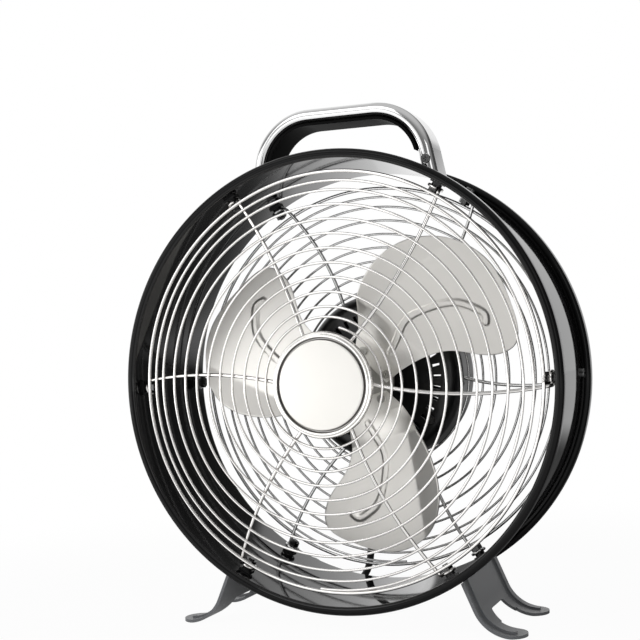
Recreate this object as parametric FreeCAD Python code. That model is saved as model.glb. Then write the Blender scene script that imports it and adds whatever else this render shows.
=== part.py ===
import FreeCAD, Part
import math
import os

# A table-top drum fan: a short steel drum between two wire guards, with a three-blade aluminium
# impeller, a mains motor in the middle of the rear guard, a carrying handle and two pressed feet.
# Millimetres. +Z is up and the air leaves towards -Y. The origin is on the floor, under the middle
# of the fan's width and depth. Most pieces are drawn about the drum's own centre, with the drum's
# axis along Y, and put in place when they are saved.

V = FreeCAD.Vector
origin = V(0, 0, 0)
axis_y = V(0, 1, 0)

# gaps
touch = 0.05  # gap between two faces that only rest on each other
running_gap = 0.05  # radial gap of a shaft in its bush
free_gap = 0.4  # gap beside a part that turns
screw_gap = 0.2  # radial gap of a screw in a plain hole

# drum
drum_radius = 150.0
drum_depth = 102.6
sheet = 0.8
bead_height = 5.8
bead_length = 11.0
curl_slit = 1.0
wall_inner = drum_radius - bead_height
wall_outer = wall_inner + sheet
drum_end = drum_depth / 2
bead_start = drum_end - bead_length
under_drum = 10.5
axis_height = drum_radius + under_drum

# guard fasteners, M4
m4 = 2.0
m4_hole = m4 + screw_gap
m4_head = 3.5
m4_head_height = 2.4
m4_nut_flats = 7.0
m4_nut_height = 3.2
screw_tail = 1.0
clip_width = 8.0
clip_length = 9.0
clip_thickness = 1.2
clip_boss_radius = 3.4
clip_boss_height = 1.5
clip_seat = wall_inner - 0.1

# guards
spoke_count = 6
turn_wire = 1.7
spoke_wire = 2.4
rim_wire = 2.3
weld_depth = 0.25
spoke_bow = 5.6
spoke_eye_radius = 4.3
spoke_eye_turn = 290.0
spoke_knuckle = 0.12
spoke_to_nut = 0.15
guard_inset = 7.7
front_rise = 14.4
rear_rise = 11.0
front_rim_radius = wall_inner - 7.7
rear_rim_radius = wall_inner - 10.2
outer_turn_gap = 6.1
step_out_angle = 20.0
front_turns = 9
front_first_gap = 15.5
front_last_gap = 12.2
cap_turn_gap = 2.9
cap_turn_step = 6.0
cap_turn_end = 75.0
rear_turns = 6
rear_first_gap = 10.4
rear_last_gap = 12.9
casing_ring_gap = 2.35

# front cap
cap_radius = 34.1
cap_rim_width = 2.5
cap_rim_height = 3.0
cap_face_radius = 28.5
cap_groove = 2.2
cap_foot_radius = 30.4
cap_depth = 11.0
cap_wall = 1.2
cap_boss_radius = 5.0
cap_thread_depth = 3.5
backplate_radius = cap_foot_radius - 0.9
backplate_thickness = 1.5
cap_screw_length = 7.0
spoke_cap_end = backplate_radius - 2.5

# motor casing
motor_radius = 60.0
casing_wall = 2.0
casing_front_depth = 12.5
casing_rear_depth = 39.5
front_round = 12.0
back_round = 16.0
nose_radius = 12.0
nose_length = 12.0
front_vents = 36
front_vent_circle = motor_radius - 16.0
front_vent_size = (5.6, 2.4)
back_vents = 24
back_vent_circle = 31.0
back_vent_size = (15.0, 3.2)
casing_screws = 4
casing_screw_circle = motor_radius - 11.0
casing_screw_turn = 52.0
casing_screw_bite = 12.0
pillar_radius = 4.0
spoke_casing_end = motor_radius - 6.0

# motor
shaft_radius = 4.0
bush_radius = 8.0
front_bush_length = 12.0
rear_bush_length = 8.0
washer_radius = 7.0
washer_thickness = 1.2
rotor_radius = 14.0
stator_radius = 27.0
stator_yoke = 5.5
stator_set_back = 19.0
stator_length = 20.0
pole_width = 7.0
coil_wall = 2.6
coil_overhang = 4.0
collar_wall = 2.0

# impeller
blade_sheet = 1.0
blade_count = 3
first_blade_angle = 45.0
root_pitch = 0.42
tip_pitch = 0.30
blade_hollow = 0.0014
edge_turn = 0.45
hub_boss_radius = 9.0
hub_boss_front = 16.0
hub_boss_back = 12.0
hub_flange_radius = 24.0
hub_flange = 2.5
impeller_gap = 12.0
blade_root = 12.0
blade_root_sides = (-15.0, 16.0)
blade_tip = 119.0
blade_edge = [(0.2521, -0.1513), (0.4706, -0.2605), (0.6218, -0.4538), (0.7395, -0.5042),
              (0.8992, -0.3445), (1.0, -0.084), (0.9496, 0.1429), (0.7731, 0.3025),
              (0.4874, 0.3277)]  # (outwards, across), as shares of the tip radius
twist_run = 18.0
crease_at_axis = 33.0
crease_slope = 0.15
root_screw = (16.5, 11.5)
m3 = 1.5
m3_head = 2.9
m3_head_height = 1.8
hub_nut_flats = 12.0
hub_nut_height = 6.0
shaft_tip = 3.0

# speed control
knob_radius = 14.0
knob_length = 12.5
knob_flange = 3.0
knob_waist_radius = 11.0
knob_bar = 5.0
knob_drop = 36.0
knob_gap = 0.5
spindle_radius = 3.0
spindle_seat = 10.0
sleeve_wall = 0.9
switch_size = (18.0, 14.0, 14.0)
switch_nut_flats = 10.0
switch_nut_height = 2.0

# handle
handle_depth = 28.0
handle_thickness = 9.5
handle_wall = 1.2
handle_mid_y = -6.0
handle_rise = 32.5
handle_half_width = 52.2
handle_lean = 11.5
handle_bend = 36.0
handle_top = drum_radius + handle_rise
handle_foot_level = math.sqrt(wall_outer ** 2 - handle_half_width ** 2) - 10.0
handle_screw_level = handle_foot_level + 17.3
handle_screw_recess = 0.6
grip_width = 26.0
grip_thickness = 1.8
grip_end_level = handle_foot_level + 23.8
bracket_height = 24.0
bracket_clearance = 0.4

# feet
foot_sheet = 2.0
foot_mid_y = -3.0
foot_half_depth = 43.0
foot_flange_from = -67.5
foot_flange_to = -57.0
foot_screw_angle = 300.0
leg_lean = 23.5
foot_bend = 26.0
toe_length = 24.0
toe_width = 22.0
arch_half_width = 14.5
arch_height = 12.5
arch_spring = 1.0
arch_round = 2.0
rib_short = 6.5
rib_height = 1.2
rib_width = 3.2
rib_inset = 7.0
rib_sink = 0.3

# mains lead
cord_diameter = 5.2
relief_length = 24.0
relief_root = 5.6
relief_neck = 4.4
relief_flange = 6.8
relief_lip = 0.8
cord_side = -21.0
cord_set_back = 17.5
coil_centre = (-123.0, 99.0)
coil_turns_wide = 3
coil_layers = 2
coil_mid_radius = 30.0
plug_length = 35.0
plug_width = 26.0
plug_height = 13.6
plug_neck = (10.0, 8.0)
pin_radius = 2.0
pin_length = 19.0
pin_spacing = 19.0


def evenly(first, last, count):
    return [first + (last - first) * i / (count - 1) for i in range(count)]


# radii of the guards' turns over the top of the fan
cap_turns = [cap_radius + cap_turn_gap, cap_radius + cap_turn_gap + cap_turn_step]
front_radii = cap_turns + evenly(cap_radius + front_first_gap, front_rim_radius - front_last_gap, front_turns)
front_radii.append(front_rim_radius - outer_turn_gap)
casing_ring = motor_radius + turn_wire / 2 + casing_ring_gap
rear_radii = evenly(casing_ring + rear_first_gap, rear_rim_radius - rear_last_gap, rear_turns)
rear_radii.append(rear_rim_radius - outer_turn_gap)


def guard_depth(radius, rise, behind=0.0):
    """How far a guard stands from the drum's mid-plane, as part of a ball, and so what lies behind it."""
    ball = (front_rim_radius ** 2 + rise ** 2) / (2 * rise)
    return drum_end - guard_inset + rise - ball + math.sqrt((ball - behind) ** 2 - radius ** 2)


def spoke_depth(radius, rise):
    """The middle of a spoke, welded behind the turns of wire."""
    return guard_depth(radius, rise, turn_wire / 2 + spoke_wire / 2 - weld_depth)


# where the spokes' eyes and their screws stand
eye_radius = clip_seat - clip_thickness - clip_boss_height - spoke_wire / 2
nut_seat = eye_radius - spoke_wire / 2
beside_nut = m4_nut_flats / 2 + spoke_wire / 2 + spoke_to_nut
front_screw_row = -spoke_depth(eye_radius, front_rise) + beside_nut
rear_screw_row = spoke_depth(eye_radius, rear_rise) - beside_nut


# where the cap, the casing and the impeller stand along the axis
cap_back = spoke_depth(cap_foot_radius - cap_wall, front_rise) + spoke_wire / 2
cap_face = cap_back + cap_depth
plate_front = spoke_depth(backplate_radius, front_rise) - spoke_wire / 2
casing_seam = spoke_depth(motor_radius, rear_rise)
casing_face = casing_seam - casing_front_depth
casing_back = casing_seam + casing_rear_depth
nose_face = casing_face - nose_length
stator_start = casing_face + stator_set_back
impeller_plane = nose_face - impeller_gap - hub_boss_back
cord_mid = casing_seam + cord_set_back
knob_start = casing_back + switch_nut_height + knob_gap

# the fan's own middle: as far from the cap's face as from the knob's end
drum_y = (cap_face - knob_start - knob_length) / 2


# ---- shared helpers ----

def place(shape):
    """From the drum's centre to the fan's origin."""
    moved = shape.copy()
    moved.translate(V(0, drum_y, axis_height))
    return moved


def save(name, *shapes):
    whole = shapes[0] if len(shapes) == 1 else Part.makeCompound(shapes)
    os.makedirs("parts", exist_ok=True)
    whole.exportStep("parts/" + name + ".step")
    volume = sum(solid.Volume for solid in whole.Solids)
    print("%-22s solids %3d  volume %9.1f  valid %s" % (name, len(whole.Solids), volume, whole.isValid()))


def turned_to(shape, angle):
    """Turned about the drum's axis, from +X towards +Z."""
    copy = shape.copy()
    copy.rotate(origin, V(0, -1, 0), angle)
    return copy


def round_the_axis(shape, count, first=0.0):
    return [turned_to(shape, first + 360.0 * i / count) for i in range(count)]


def rounded_path(points, radii, closed=False):
    """Straight runs through the points, with a tangent arc of its own radius at each corner."""
    count = len(points)
    corners = []
    for i, point in enumerate(points):
        if not closed and i in (0, count - 1) or radii[i] <= 0:
            corners.append((point, None, point))
            continue
        back = (points[i - 1] - point).normalize()
        ahead = (points[(i + 1) % count] - point).normalize()
        half = back.getAngle(ahead) / 2
        reach = radii[i] / math.tan(half)
        middle = (back + ahead).normalize() * (radii[i] / math.sin(half) - radii[i])
        corners.append((point + back * reach, point + middle, point + ahead * reach))
    edges = []
    for i, (start, middle, end) in enumerate(corners):
        if middle is not None:
            edges.append(Part.Arc(start, middle, end).toShape())
        if i + 1 < count or closed:
            following = corners[(i + 1) % count][0]
            if (following - end).Length > 1e-6:
                edges.append(Part.LineSegment(end, following).toShape())
    return Part.Wire(edges)


def face_of(points, radii=None):
    radii = radii or [0.0] * len(points)
    return Part.Face(rounded_path(points, radii, closed=True))


def revolved(outline, radii=None):
    """A solid turned about the drum's axis from an outline of (radius, y) points."""
    return face_of([V(r, y, 0) for r, y in outline], radii).revolve(origin, axis_y, 360)


def disc(radius, start, length, inner=0.0):
    solid = Part.makeCylinder(radius, length, V(0, start, 0), axis_y)
    if inner > 0:
        solid = solid.cut(Part.makeCylinder(inner, length, V(0, start, 0), axis_y))
    return solid


def radial_pin(radius, start, length, y, angle=0.0):
    """A round pin that points away from the drum's axis."""
    return turned_to(Part.makeCylinder(radius, length, V(start, y, 0), V(1, 0, 0)), angle)


def hexagon(flats, length, start, direction):
    """A six-sided prism."""
    corner = flats / 2 / math.cos(math.radians(30))
    side = V(0, 0, 1) if abs(direction.z) < 0.5 else V(1, 0, 0)
    other = direction.cross(side)
    turns = [math.radians(60 * i) for i in range(6)]
    points = [start + side * (corner * math.cos(a)) + other * (corner * math.sin(a)) for a in turns]
    return face_of(points).extrude(direction * length)


def wire_along(curve, diameter):
    """A round wire along one edge or wire."""
    path = curve if isinstance(curve, Part.Wire) else Part.Wire([curve])
    first = path.OrderedEdges[0]
    start = first.valueAt(first.FirstParameter)
    heading = first.tangentAt(first.FirstParameter)
    circle = Part.Wire([Part.makeCircle(diameter / 2, start, heading)])
    return path.makePipeShell([circle], True, False)


def mitred(points, distance):
    """The points of a flat path in X and Z, moved sideways by a distance, to its left."""
    moved = []
    for i, point in enumerate(points):
        ways = []
        if i > 0:
            ways.append((point - points[i - 1]).normalize())
        if i + 1 < len(points):
            ways.append((points[i + 1] - point).normalize())
        normals = [V(-way.z, 0, way.x) for way in ways]
        middle = (normals[0] + normals[-1]).normalize()
        moved.append(point + middle * (distance / middle.dot(normals[0])))
    return moved


def strip(points, radii, low, high):
    """The flat band between two distances to the left of a path in X and Z."""
    def side(distance):
        grown = []
        for i, radius in enumerate(radii):
            if radius <= 0:
                grown.append(0.0)
                continue
            before = points[i] - points[i - 1]
            after = points[i + 1] - points[i]
            left_turn = before.x * after.z - before.z * after.x > 0
            grown.append(radius - distance if left_turn else radius + distance)
        return mitred(points, distance), grown
    near, near_radii = side(low)
    far, far_radii = side(high)
    return face_of(near + far[::-1], near_radii + far_radii[::-1])


# ---- drum and guards ----

def drum_shell():
    end_round = bead_height / 2 - 0.01

    def curl(sign):
        rows = (sign * drum_end, sign * bead_start)
        outer = [V(wall_inner, rows[0], 0), V(drum_radius, rows[0], 0)]
        outer += [V(drum_radius, rows[1], 0), V(wall_inner, rows[1], 0)]
        inner_rows = (rows[0] - sign * sheet, rows[1] + sign * sheet)
        inner = [V(wall_outer, inner_rows[0], 0), V(drum_radius - sheet, inner_rows[0], 0)]
        inner += [V(drum_radius - sheet, inner_rows[1], 0), V(wall_outer, inner_rows[1], 0)]
        ring = face_of(outer, [end_round] * 4).cut(face_of(inner, [end_round - sheet] * 4))
        gap_rows = (rows[1] - sign * curl_slit, rows[1] + sign * end_round)
        gap = face_of([V(wall_outer, gap_rows[0], 0), V(wall_outer + sheet, gap_rows[0], 0),
                       V(wall_outer + sheet, gap_rows[1], 0), V(wall_outer, gap_rows[1], 0)])
        return ring.cut(gap).revolve(origin, axis_y, 360)

    straight = drum_end - bead_height / 2
    wall = disc(wall_outer, -straight, 2 * straight, wall_inner)
    drum = wall.fuse([curl(-1), curl(1)]).removeSplitter()
    holes = [hole for y in (front_screw_row, rear_screw_row)
             for hole in round_the_axis(radial_pin(m4_hole, wall_inner - 5, 10, y), spoke_count)]
    return drum.cut(Part.makeCompound(holes))


def guard_point(radius, angle, rise, sign):
    """A point of a guard's wire, its angle from the side where the turns step out."""
    turn = math.radians(angle)
    return V(-sign * radius * math.cos(turn), sign * guard_depth(radius, rise), radius * math.sin(turn))


def step_share(radius_from, radius_to, radius):
    """How far round its half turn, in degrees, a step out has gone when it reaches a radius."""
    return math.degrees(math.acos(1 - 2 * (radius - radius_from) / (radius_to - radius_from)))


def step_out(radius_from, radius_to, rise, sign, first=0.0, last=180.0):
    """A half turn below the axis, or part of it, that leads from one radius to the next."""
    start = guard_point(radius_from, step_out_angle, rise, sign)
    end = guard_point(radius_to, step_out_angle + 180.0, rise, sign)
    middle = (start + end) / 2
    along = (start - end) / 2
    down = guard_point(1.0, step_out_angle - 90.0, rise, sign) - guard_point(0.0, 0.0, rise, sign)
    down = V(down.x, 0, down.z).normalize() * along.Length
    points = []
    for angle in (first, (first + last) / 2, last):
        turn = math.radians(angle)
        points.append(middle + along * math.cos(turn) + down * math.sin(turn))
    return Part.Arc(*points).toShape()


def over_the_top(radius, rise, sign, last):
    """A turn of one radius over the top of the fan, from the side of the last step out."""
    first = step_out_angle + 180.0
    angles = (first, (first + last) / 2, last)
    return Part.Arc(*[guard_point(radius, angle, rise, sign) for angle in angles]).toShape()


def front_spiral():
    """One wire from a free end beside the cap to the rim ring, which it meets under the fan."""
    free_end = [guard_point(front_radii[0], angle, front_rise, -1)
                for angle in (cap_turn_end, (cap_turn_end + step_out_angle) / 2, step_out_angle)]
    edges = [Part.Arc(*free_end).toShape()]
    for inner, outer in zip(front_radii, front_radii[1:]):
        edges.append(step_out(inner, outer, front_rise, -1))
        edges.append(over_the_top(outer, front_rise, -1, step_out_angle))
    meets_rim = front_rim_radius - rim_wire / 2 - turn_wire / 2 + weld_depth
    last = step_share(front_radii[-1], front_rim_radius, meets_rim)
    edges.append(step_out(front_radii[-1], front_rim_radius, front_rise, -1, 0.0, last))
    centre = V(0, -guard_depth(front_rim_radius, front_rise), 0)
    rim = Part.makeTorus(front_rim_radius, rim_wire / 2, centre, axis_y)
    return wire_along(Part.Wire(edges), turn_wire).fuse(rim)


def rear_spiral():
    """The same towards the motor's side: one wire from the ring round the casing to the rim ring."""
    leaves = casing_ring + turn_wire - weld_depth
    first = step_share(casing_ring, rear_radii[0], leaves)
    edges = [step_out(casing_ring, rear_radii[0], rear_rise, 1, first, 180.0)]
    for inner, outer in zip(rear_radii, rear_radii[1:]):
        edges.append(over_the_top(inner, rear_rise, 1, step_out_angle))
        edges.append(step_out(inner, outer, rear_rise, 1))
    edges.append(over_the_top(rear_radii[-1], rear_rise, 1, step_out_angle))
    meets_rim = rear_rim_radius - rim_wire / 2 - turn_wire / 2 + weld_depth
    last = step_share(rear_radii[-1], rear_rim_radius, meets_rim)
    edges.append(step_out(rear_radii[-1], rear_rim_radius, rear_rise, 1, 0.0, last))
    rings = [Part.makeTorus(radius, wire / 2, V(0, guard_depth(radius, rear_rise), 0), axis_y)
             for radius, wire in ((casing_ring, turn_wire), (rear_rim_radius, rim_wire))]
    return wire_along(Part.Wire(edges), turn_wire).fuse(rings)


def spoke_point(radius, rise, sign):
    """A point of a spoke, which bows sideways and ends beside its screw."""
    share = (radius - spoke_cap_end) / (eye_radius - spoke_cap_end)
    sideways = spoke_eye_radius * share + 4 * spoke_bow * share * (1 - share)
    return V(radius, sign * spoke_depth(math.hypot(radius, sideways), rise), -sideways)


def spoke_bar(inner_end, rise, sign, diameter):
    radii = (inner_end, (inner_end + eye_radius) / 2, eye_radius)
    return wire_along(Part.Arc(*[spoke_point(r, rise, sign) for r in radii]).toShape(), diameter)


def guard_spokes(inner_end, rise, sign, row):
    """Bowed spokes welded inside the turns, each bent into an eye round its screw."""
    knuckle = spoke_point(eye_radius, rise, sign)
    eye_start = V(eye_radius, row, -spoke_eye_radius)
    around = []
    for angle in (spoke_eye_turn / 2, spoke_eye_turn):
        turn = math.radians(angle)
        around.append(V(eye_radius, row - sign * spoke_eye_radius * math.sin(turn),
                        -spoke_eye_radius * math.cos(turn)))
    eye = Part.Wire([Part.LineSegment(knuckle, eye_start).toShape(), Part.Arc(eye_start, *around).toShape()])
    ball = Part.makeSphere(spoke_wire / 2 + spoke_knuckle, knuckle)
    spoke = spoke_bar(inner_end, rise, sign, spoke_wire).fuse([ball, wire_along(eye, spoke_wire)])
    return round_the_axis(spoke, spoke_count)


def guard_clips(y):
    """A small plate on the drum's wall with a boss that holds the spoke's eye off it."""
    base = clip_seat - clip_thickness
    corner = V(base, y - clip_length / 2, -clip_width / 2)
    plate = Part.makeBox(clip_thickness, clip_length, clip_width, corner)
    boss = radial_pin(clip_boss_radius, base - clip_boss_height, clip_boss_height, y)
    hole = radial_pin(m4_hole, base - clip_boss_height - 1, clip_boss_height + clip_thickness + 2, y)
    return round_the_axis(plate.fuse(boss).cut(hole), spoke_count)


def guard_screw(y, angle):
    under_foot = angle in (foot_screw_angle, 540.0 - foot_screw_angle)
    seat = wall_outer + touch + foot_sheet if under_foot else wall_outer
    head = radial_pin(m4_head, seat, m4_head_height, y)
    rim = [edge for edge in head.Edges if edge.BoundBox.XMin > seat + 1]
    slot = cross_slot(V(seat + m4_head_height, y, 0), V(1, 0, 0), 1.2 * m4_head, m4_head_height / 2)
    tip = nut_seat - m4_nut_height - screw_tail
    shank = radial_pin(m4, tip, seat - tip, y)
    return turned_to(shank.fuse(head.makeFillet(m4_head_height / 2, rim)).cut(slot), angle)


def guard_screws():
    """Screws through the drum, the clips and, at the bottom, the feet."""
    angles = [360.0 * i / spoke_count for i in range(spoke_count)]
    return [guard_screw(y, angle) for y in (front_screw_row, rear_screw_row) for angle in angles]


def guard_nuts():
    nuts = []
    start = nut_seat - m4_nut_height
    for y in (front_screw_row, rear_screw_row):
        nut = hexagon(m4_nut_flats, m4_nut_height, V(start, y, 0), V(1, 0, 0))
        nuts += round_the_axis(nut.cut(radial_pin(m4, start - 1, m4_nut_height + 2, y)), spoke_count)
    return nuts


def cross_slot(top, direction, length, depth):
    """The cross recess in a screw's head."""
    side = V(0, 0, 1) if abs(direction.z) < 0.5 else V(1, 0, 0)
    other = direction.cross(side)
    signs = ((-1, -1), (1, -1), (1, 1), (-1, 1))
    bars = []
    for a, b in ((side, other), (other, side)):
        corners = [top + a * (length / 2 * i) + b * (length / 10 * j) for i, j in signs]
        bars.append(face_of(corners).extrude(direction * -depth))
    return bars[0].fuse(bars[1])


# ---- front cap ----

def front_cap():
    """A disc in a groove inside a rolled rim, on a skirt that narrows to its foot."""
    face = -cap_face
    back = -cap_back
    r = cap_radius
    f = cap_face_radius
    rim = r - cap_rim_width
    floor = face + cap_groove
    inside = floor + cap_wall
    outline = [(0, face), (f, face), (f + 0.8, floor), (rim - 0.7, floor), (rim, face), (r - 1.2, face),
               (r, face + cap_rim_height), (cap_foot_radius, back), (cap_foot_radius - cap_wall, back),
               (r - 1.4 * cap_wall, inside + 0.5), (rim - 1.2, inside), (f - 0.5, inside),
               (f - 0.9, face + cap_wall), (cap_boss_radius, face + cap_wall),
               (cap_boss_radius, -plate_front), (m4, -plate_front), (m4, face + cap_thread_depth),
               (0, face + cap_thread_depth)]
    radii = [0.0, 1.0, 0.5, 0.5, 0.6, 1.0, 0.6] + [0.0] * 11
    return revolved(outline, radii)


def cap_backplate():
    return disc(backplate_radius, -plate_front, backplate_thickness, m4_hole)


def cap_screw():
    seat = -plate_front + backplate_thickness
    head = disc(m4_head, seat, m4_head_height)
    slot = cross_slot(V(0, seat + m4_head_height, 0), axis_y, 1.2 * m4_head, m4_head_height / 2)
    return head.fuse(disc(m4, seat - cap_screw_length, cap_screw_length)).cut(slot)


# ---- motor casing and motor ----

def vent_slots(count, circle, size, start, length, skip=None):
    long, wide = size
    slots = []
    for i in range(count):
        angle = 360.0 * i / count
        if skip and skip(angle):
            continue
        slot = Part.makeBox(long, length, wide, V(circle - long / 2, start, -wide / 2))
        slots.append(turned_to(slot, angle))
    return slots


def spoke_notches():
    """Room for the rear spokes' ends, which the two shells clamp at their seam."""
    return round_the_axis(spoke_bar(spoke_casing_end, rear_rise, 1, spoke_wire + 2 * touch), spoke_count)


def casing_screw_holes(radius, start, length):
    hole = Part.makeCylinder(radius, length, V(casing_screw_circle, start, 0), axis_y)
    return round_the_axis(hole, casing_screws, casing_screw_turn)


def motor_front_shell():
    face = casing_face
    wall = casing_wall
    r = motor_radius
    collar = stator_radius + touch
    collar_end = stator_start + stator_length / 2
    outline = [(bush_radius, nose_face), (nose_radius, nose_face), (nose_radius, face), (r, face),
               (r, casing_seam), (r - wall, casing_seam), (r - wall, face + wall),
               (collar + collar_wall, face + wall),
               (collar + collar_wall, collar_end), (collar, collar_end), (collar, stator_start),
               (collar - collar_wall, stator_start), (collar - collar_wall, face + wall),
               (bush_radius, face + wall)]
    radii = [0.0, 2.0, 1.0, front_round, 0, 0, front_round - wall] + [0.0] * 7
    shell = revolved(outline, radii)
    cuts = vent_slots(front_vents, front_vent_circle, front_vent_size, face - 1, wall + 2)
    cuts += casing_screw_holes(m3, face - 1, wall + 2)
    cuts += spoke_notches()
    foot = V(casing_screw_circle, face + wall, 0)
    pillar = Part.makeCylinder(pillar_radius, casing_seam - face - wall, foot, axis_y)
    bore = Part.makeCylinder(m3, casing_seam - face, V(casing_screw_circle, face, 0), axis_y)
    shell = shell.cut(Part.makeCompound(cuts))
    return shell.fuse(round_the_axis(pillar.cut(bore), casing_screws, casing_screw_turn))


def near_knob(angle):
    return abs((angle - 270 + 180) % 360 - 180) < 38


def motor_rear_cover():
    back = casing_back
    wall = casing_wall
    r = motor_radius
    bush_start = back - wall - rear_bush_length
    seam = casing_seam + touch
    outline = [(0, back), (r, back), (r, seam), (r - wall, seam), (r - wall, back - wall),
               (nose_radius, back - wall), (nose_radius, bush_start), (bush_radius, bush_start),
               (bush_radius, back - wall), (0, back - wall)]
    radii = [0.0, back_round, 0, 0, back_round - wall] + [0.0] * 5
    cover = revolved(outline, radii)
    cuts = vent_slots(back_vents, back_vent_circle, back_vent_size, back - wall - 1, wall + 2, near_knob)
    cuts += spoke_notches()
    cuts.append(Part.makeCylinder(spindle_radius + sleeve_wall, 10, V(0, back - 6, -knob_drop), axis_y))
    cuts.append(Part.makeCylinder(relief_neck, 30, V(cord_side, cord_mid, -motor_radius - 10), V(0, 0, 1)))
    pillar = Part.makeCylinder(pillar_radius, back - seam, V(casing_screw_circle, seam, 0), axis_y)
    inside = disc(r - wall / 2, casing_seam, back - wall / 2 - casing_seam)
    pillar = pillar.common(inside)
    cover = cover.fuse(round_the_axis(pillar, casing_screws, casing_screw_turn))
    core = Part.makeCylinder(m3, casing_screw_bite + 2, V(casing_screw_circle, casing_seam - 1, 0), axis_y)
    return cover.cut(Part.makeCompound(cuts + round_the_axis(core, casing_screws, casing_screw_turn)))


def casing_screw_set():
    top = casing_face
    length = casing_seam - casing_face + casing_screw_bite
    centre = V(casing_screw_circle, top, 0)
    shank = Part.makeCylinder(m3, length, centre, axis_y)
    head = Part.makeCylinder(m3_head, m3_head_height, centre - axis_y * m3_head_height, axis_y)
    slot = cross_slot(centre - axis_y * m3_head_height, V(0, -1, 0), 1.1 * m3_head, m3_head_height / 2)
    return round_the_axis(shank.fuse(head).cut(slot), casing_screws, casing_screw_turn)


def stator_core():
    bore = rotor_radius + free_gap
    core = disc(stator_radius, stator_start, stator_length, stator_radius - stator_yoke)
    corner = V(bore, stator_start, -pole_width / 2)
    pole = Part.makeBox(stator_radius - 2 - bore, stator_length, pole_width, corner)
    shoe = disc(bore + 1.2, stator_start, stator_length, bore)
    sector = Part.makeBox(bore + 3, stator_length, pole_width * 1.6, V(0, stator_start, -pole_width * 0.8))
    return core.fuse(round_the_axis(pole.fuse(shoe.common(sector)), 4)).removeSplitter().cut(
        disc(bore, stator_start - 1, stator_length + 2))


def stator_windings():
    inner = rotor_radius + free_gap + 1.4
    depth = stator_radius - stator_yoke - inner - 1.2
    half = pole_width / 2 + 0.2
    outer = Part.makeBox(depth, stator_length + 2 * coil_overhang, 2 * (half + coil_wall),
                         V(inner, stator_start - coil_overhang, -half - coil_wall))
    hole = Part.makeBox(depth, stator_length + 0.4, 2 * half, V(inner, stator_start - 0.2, -half))
    return round_the_axis(outer.cut(hole), 4)


def bush(start, length):
    return disc(bush_radius, start, length, shaft_radius + running_gap)


def motor_shaft():
    start = impeller_plane - hub_boss_front - hub_nut_height - shaft_tip
    return disc(shaft_radius, start, casing_back - casing_wall - 0.5 - start)


def thrust_washers():
    """One washer before the front bush and one before the rear bush."""
    starts = (nose_face - free_gap - washer_thickness,
              casing_back - casing_wall - rear_bush_length - free_gap - washer_thickness)
    return [disc(washer_radius, start, washer_thickness, shaft_radius) for start in starts]


def rotor_core():
    return disc(rotor_radius, stator_start, stator_length, shaft_radius)


# ---- impeller ----

def blade_outline():
    """The blade's edge seen along the axis: u runs outwards, v counterclockwise from its middle line."""
    curve = Part.BSplineCurve()
    front = -blade_tip / 2
    first, last = [V(blade_root, front, side) for side in blade_root_sides]
    through = [V(out * blade_tip, front, across * blade_tip) for out, across in blade_edge]
    curve.interpolate([first] + through + [last])
    return Part.Wire([curve.toShape(), Part.LineSegment(last, first).toShape()])


def edge_line(u):
    """The crease where the blade's rear edge turns up."""
    return crease_at_axis - crease_slope * u


def blade_rise(u, v):
    """Distance along the axis from the flat root, for the twist, the hollow and the turned edge."""
    twist_start = hub_flange_radius + 1.0
    share = min(1.0, max(0.0, (u - twist_start) / twist_run))
    outward = (u - twist_start) / (blade_tip - twist_start)
    pitch = root_pitch + (tip_pitch - root_pitch) * outward
    return -share * (pitch * v + blade_hollow * v * v + edge_turn * max(0.0, v - edge_line(u)))


def blade():
    twist_start = hub_flange_radius + 1.0
    stations = [blade_root / 2, twist_start, twist_start + twist_run / 2, twist_start + twist_run]
    stations += [share * blade_tip for share in (0.52, 0.69, 0.86, 1.05)]
    sections = []
    for u in stations:
        rows = [share * blade_tip for share in (-0.63, -0.42, -0.21, 0.0)]
        rows += [edge_line(u), 0.42 * blade_tip]
        near = [V(u, impeller_plane + blade_rise(u, v), v) for v in rows]
        far = [point + axis_y * blade_sheet for point in near[::-1]]
        sections.append(Part.makePolygon(near + far + near[:1]))
    slab = Part.makeLoft(sections, True, True)
    prism = Part.Face(blade_outline()).extrude(axis_y * blade_tip)
    u, v = root_screw
    holes = [Part.makeCylinder(m3, 10, V(u, impeller_plane - 5, side * v), axis_y) for side in (-1, 1)]
    return slab.common(prism).cut(Part.makeCompound(holes))


def hub():
    seat = impeller_plane + blade_sheet
    flange = disc(hub_flange_radius, seat, hub_flange)
    boss_start = impeller_plane - hub_boss_front
    boss = disc(hub_boss_radius, boss_start, hub_boss_front + hub_boss_back)
    body = flange.fuse(boss).cut(disc(shaft_radius, boss_start - 1, 60))
    u, v = root_screw
    holes = []
    for angle in blade_angles():
        for side in (-1, 1):
            hole = Part.makeCylinder(m3, 20, V(u, seat - 1, side * v), axis_y)
            holes.append(turned_to(hole, angle))
    return body.cut(Part.makeCompound(holes))


def blade_angles():
    return [first_blade_angle + 360.0 * i / blade_count for i in range(blade_count)]


def blade_screws():
    u, v = root_screw
    length = blade_sheet + hub_flange
    screws = []
    for angle in blade_angles():
        for side in (-1, 1):
            centre = V(u, impeller_plane, side * v)
            head = Part.makeCylinder(m3_head, m3_head_height, centre - axis_y * m3_head_height, axis_y)
            slot = cross_slot(centre - axis_y * m3_head_height, V(0, -1, 0), 3.2, 1.0)
            shank = Part.makeCylinder(m3, length, centre, axis_y)
            screws.append(turned_to(head.fuse(shank).cut(slot), angle))
    return screws


def hub_nut():
    start = impeller_plane - hub_boss_front - hub_nut_height
    nut = hexagon(hub_nut_flats, hub_nut_height, V(0, start, 0), axis_y)
    return nut.cut(disc(shaft_radius, start - 1, hub_nut_height + 2))


# ---- speed control ----

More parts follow.
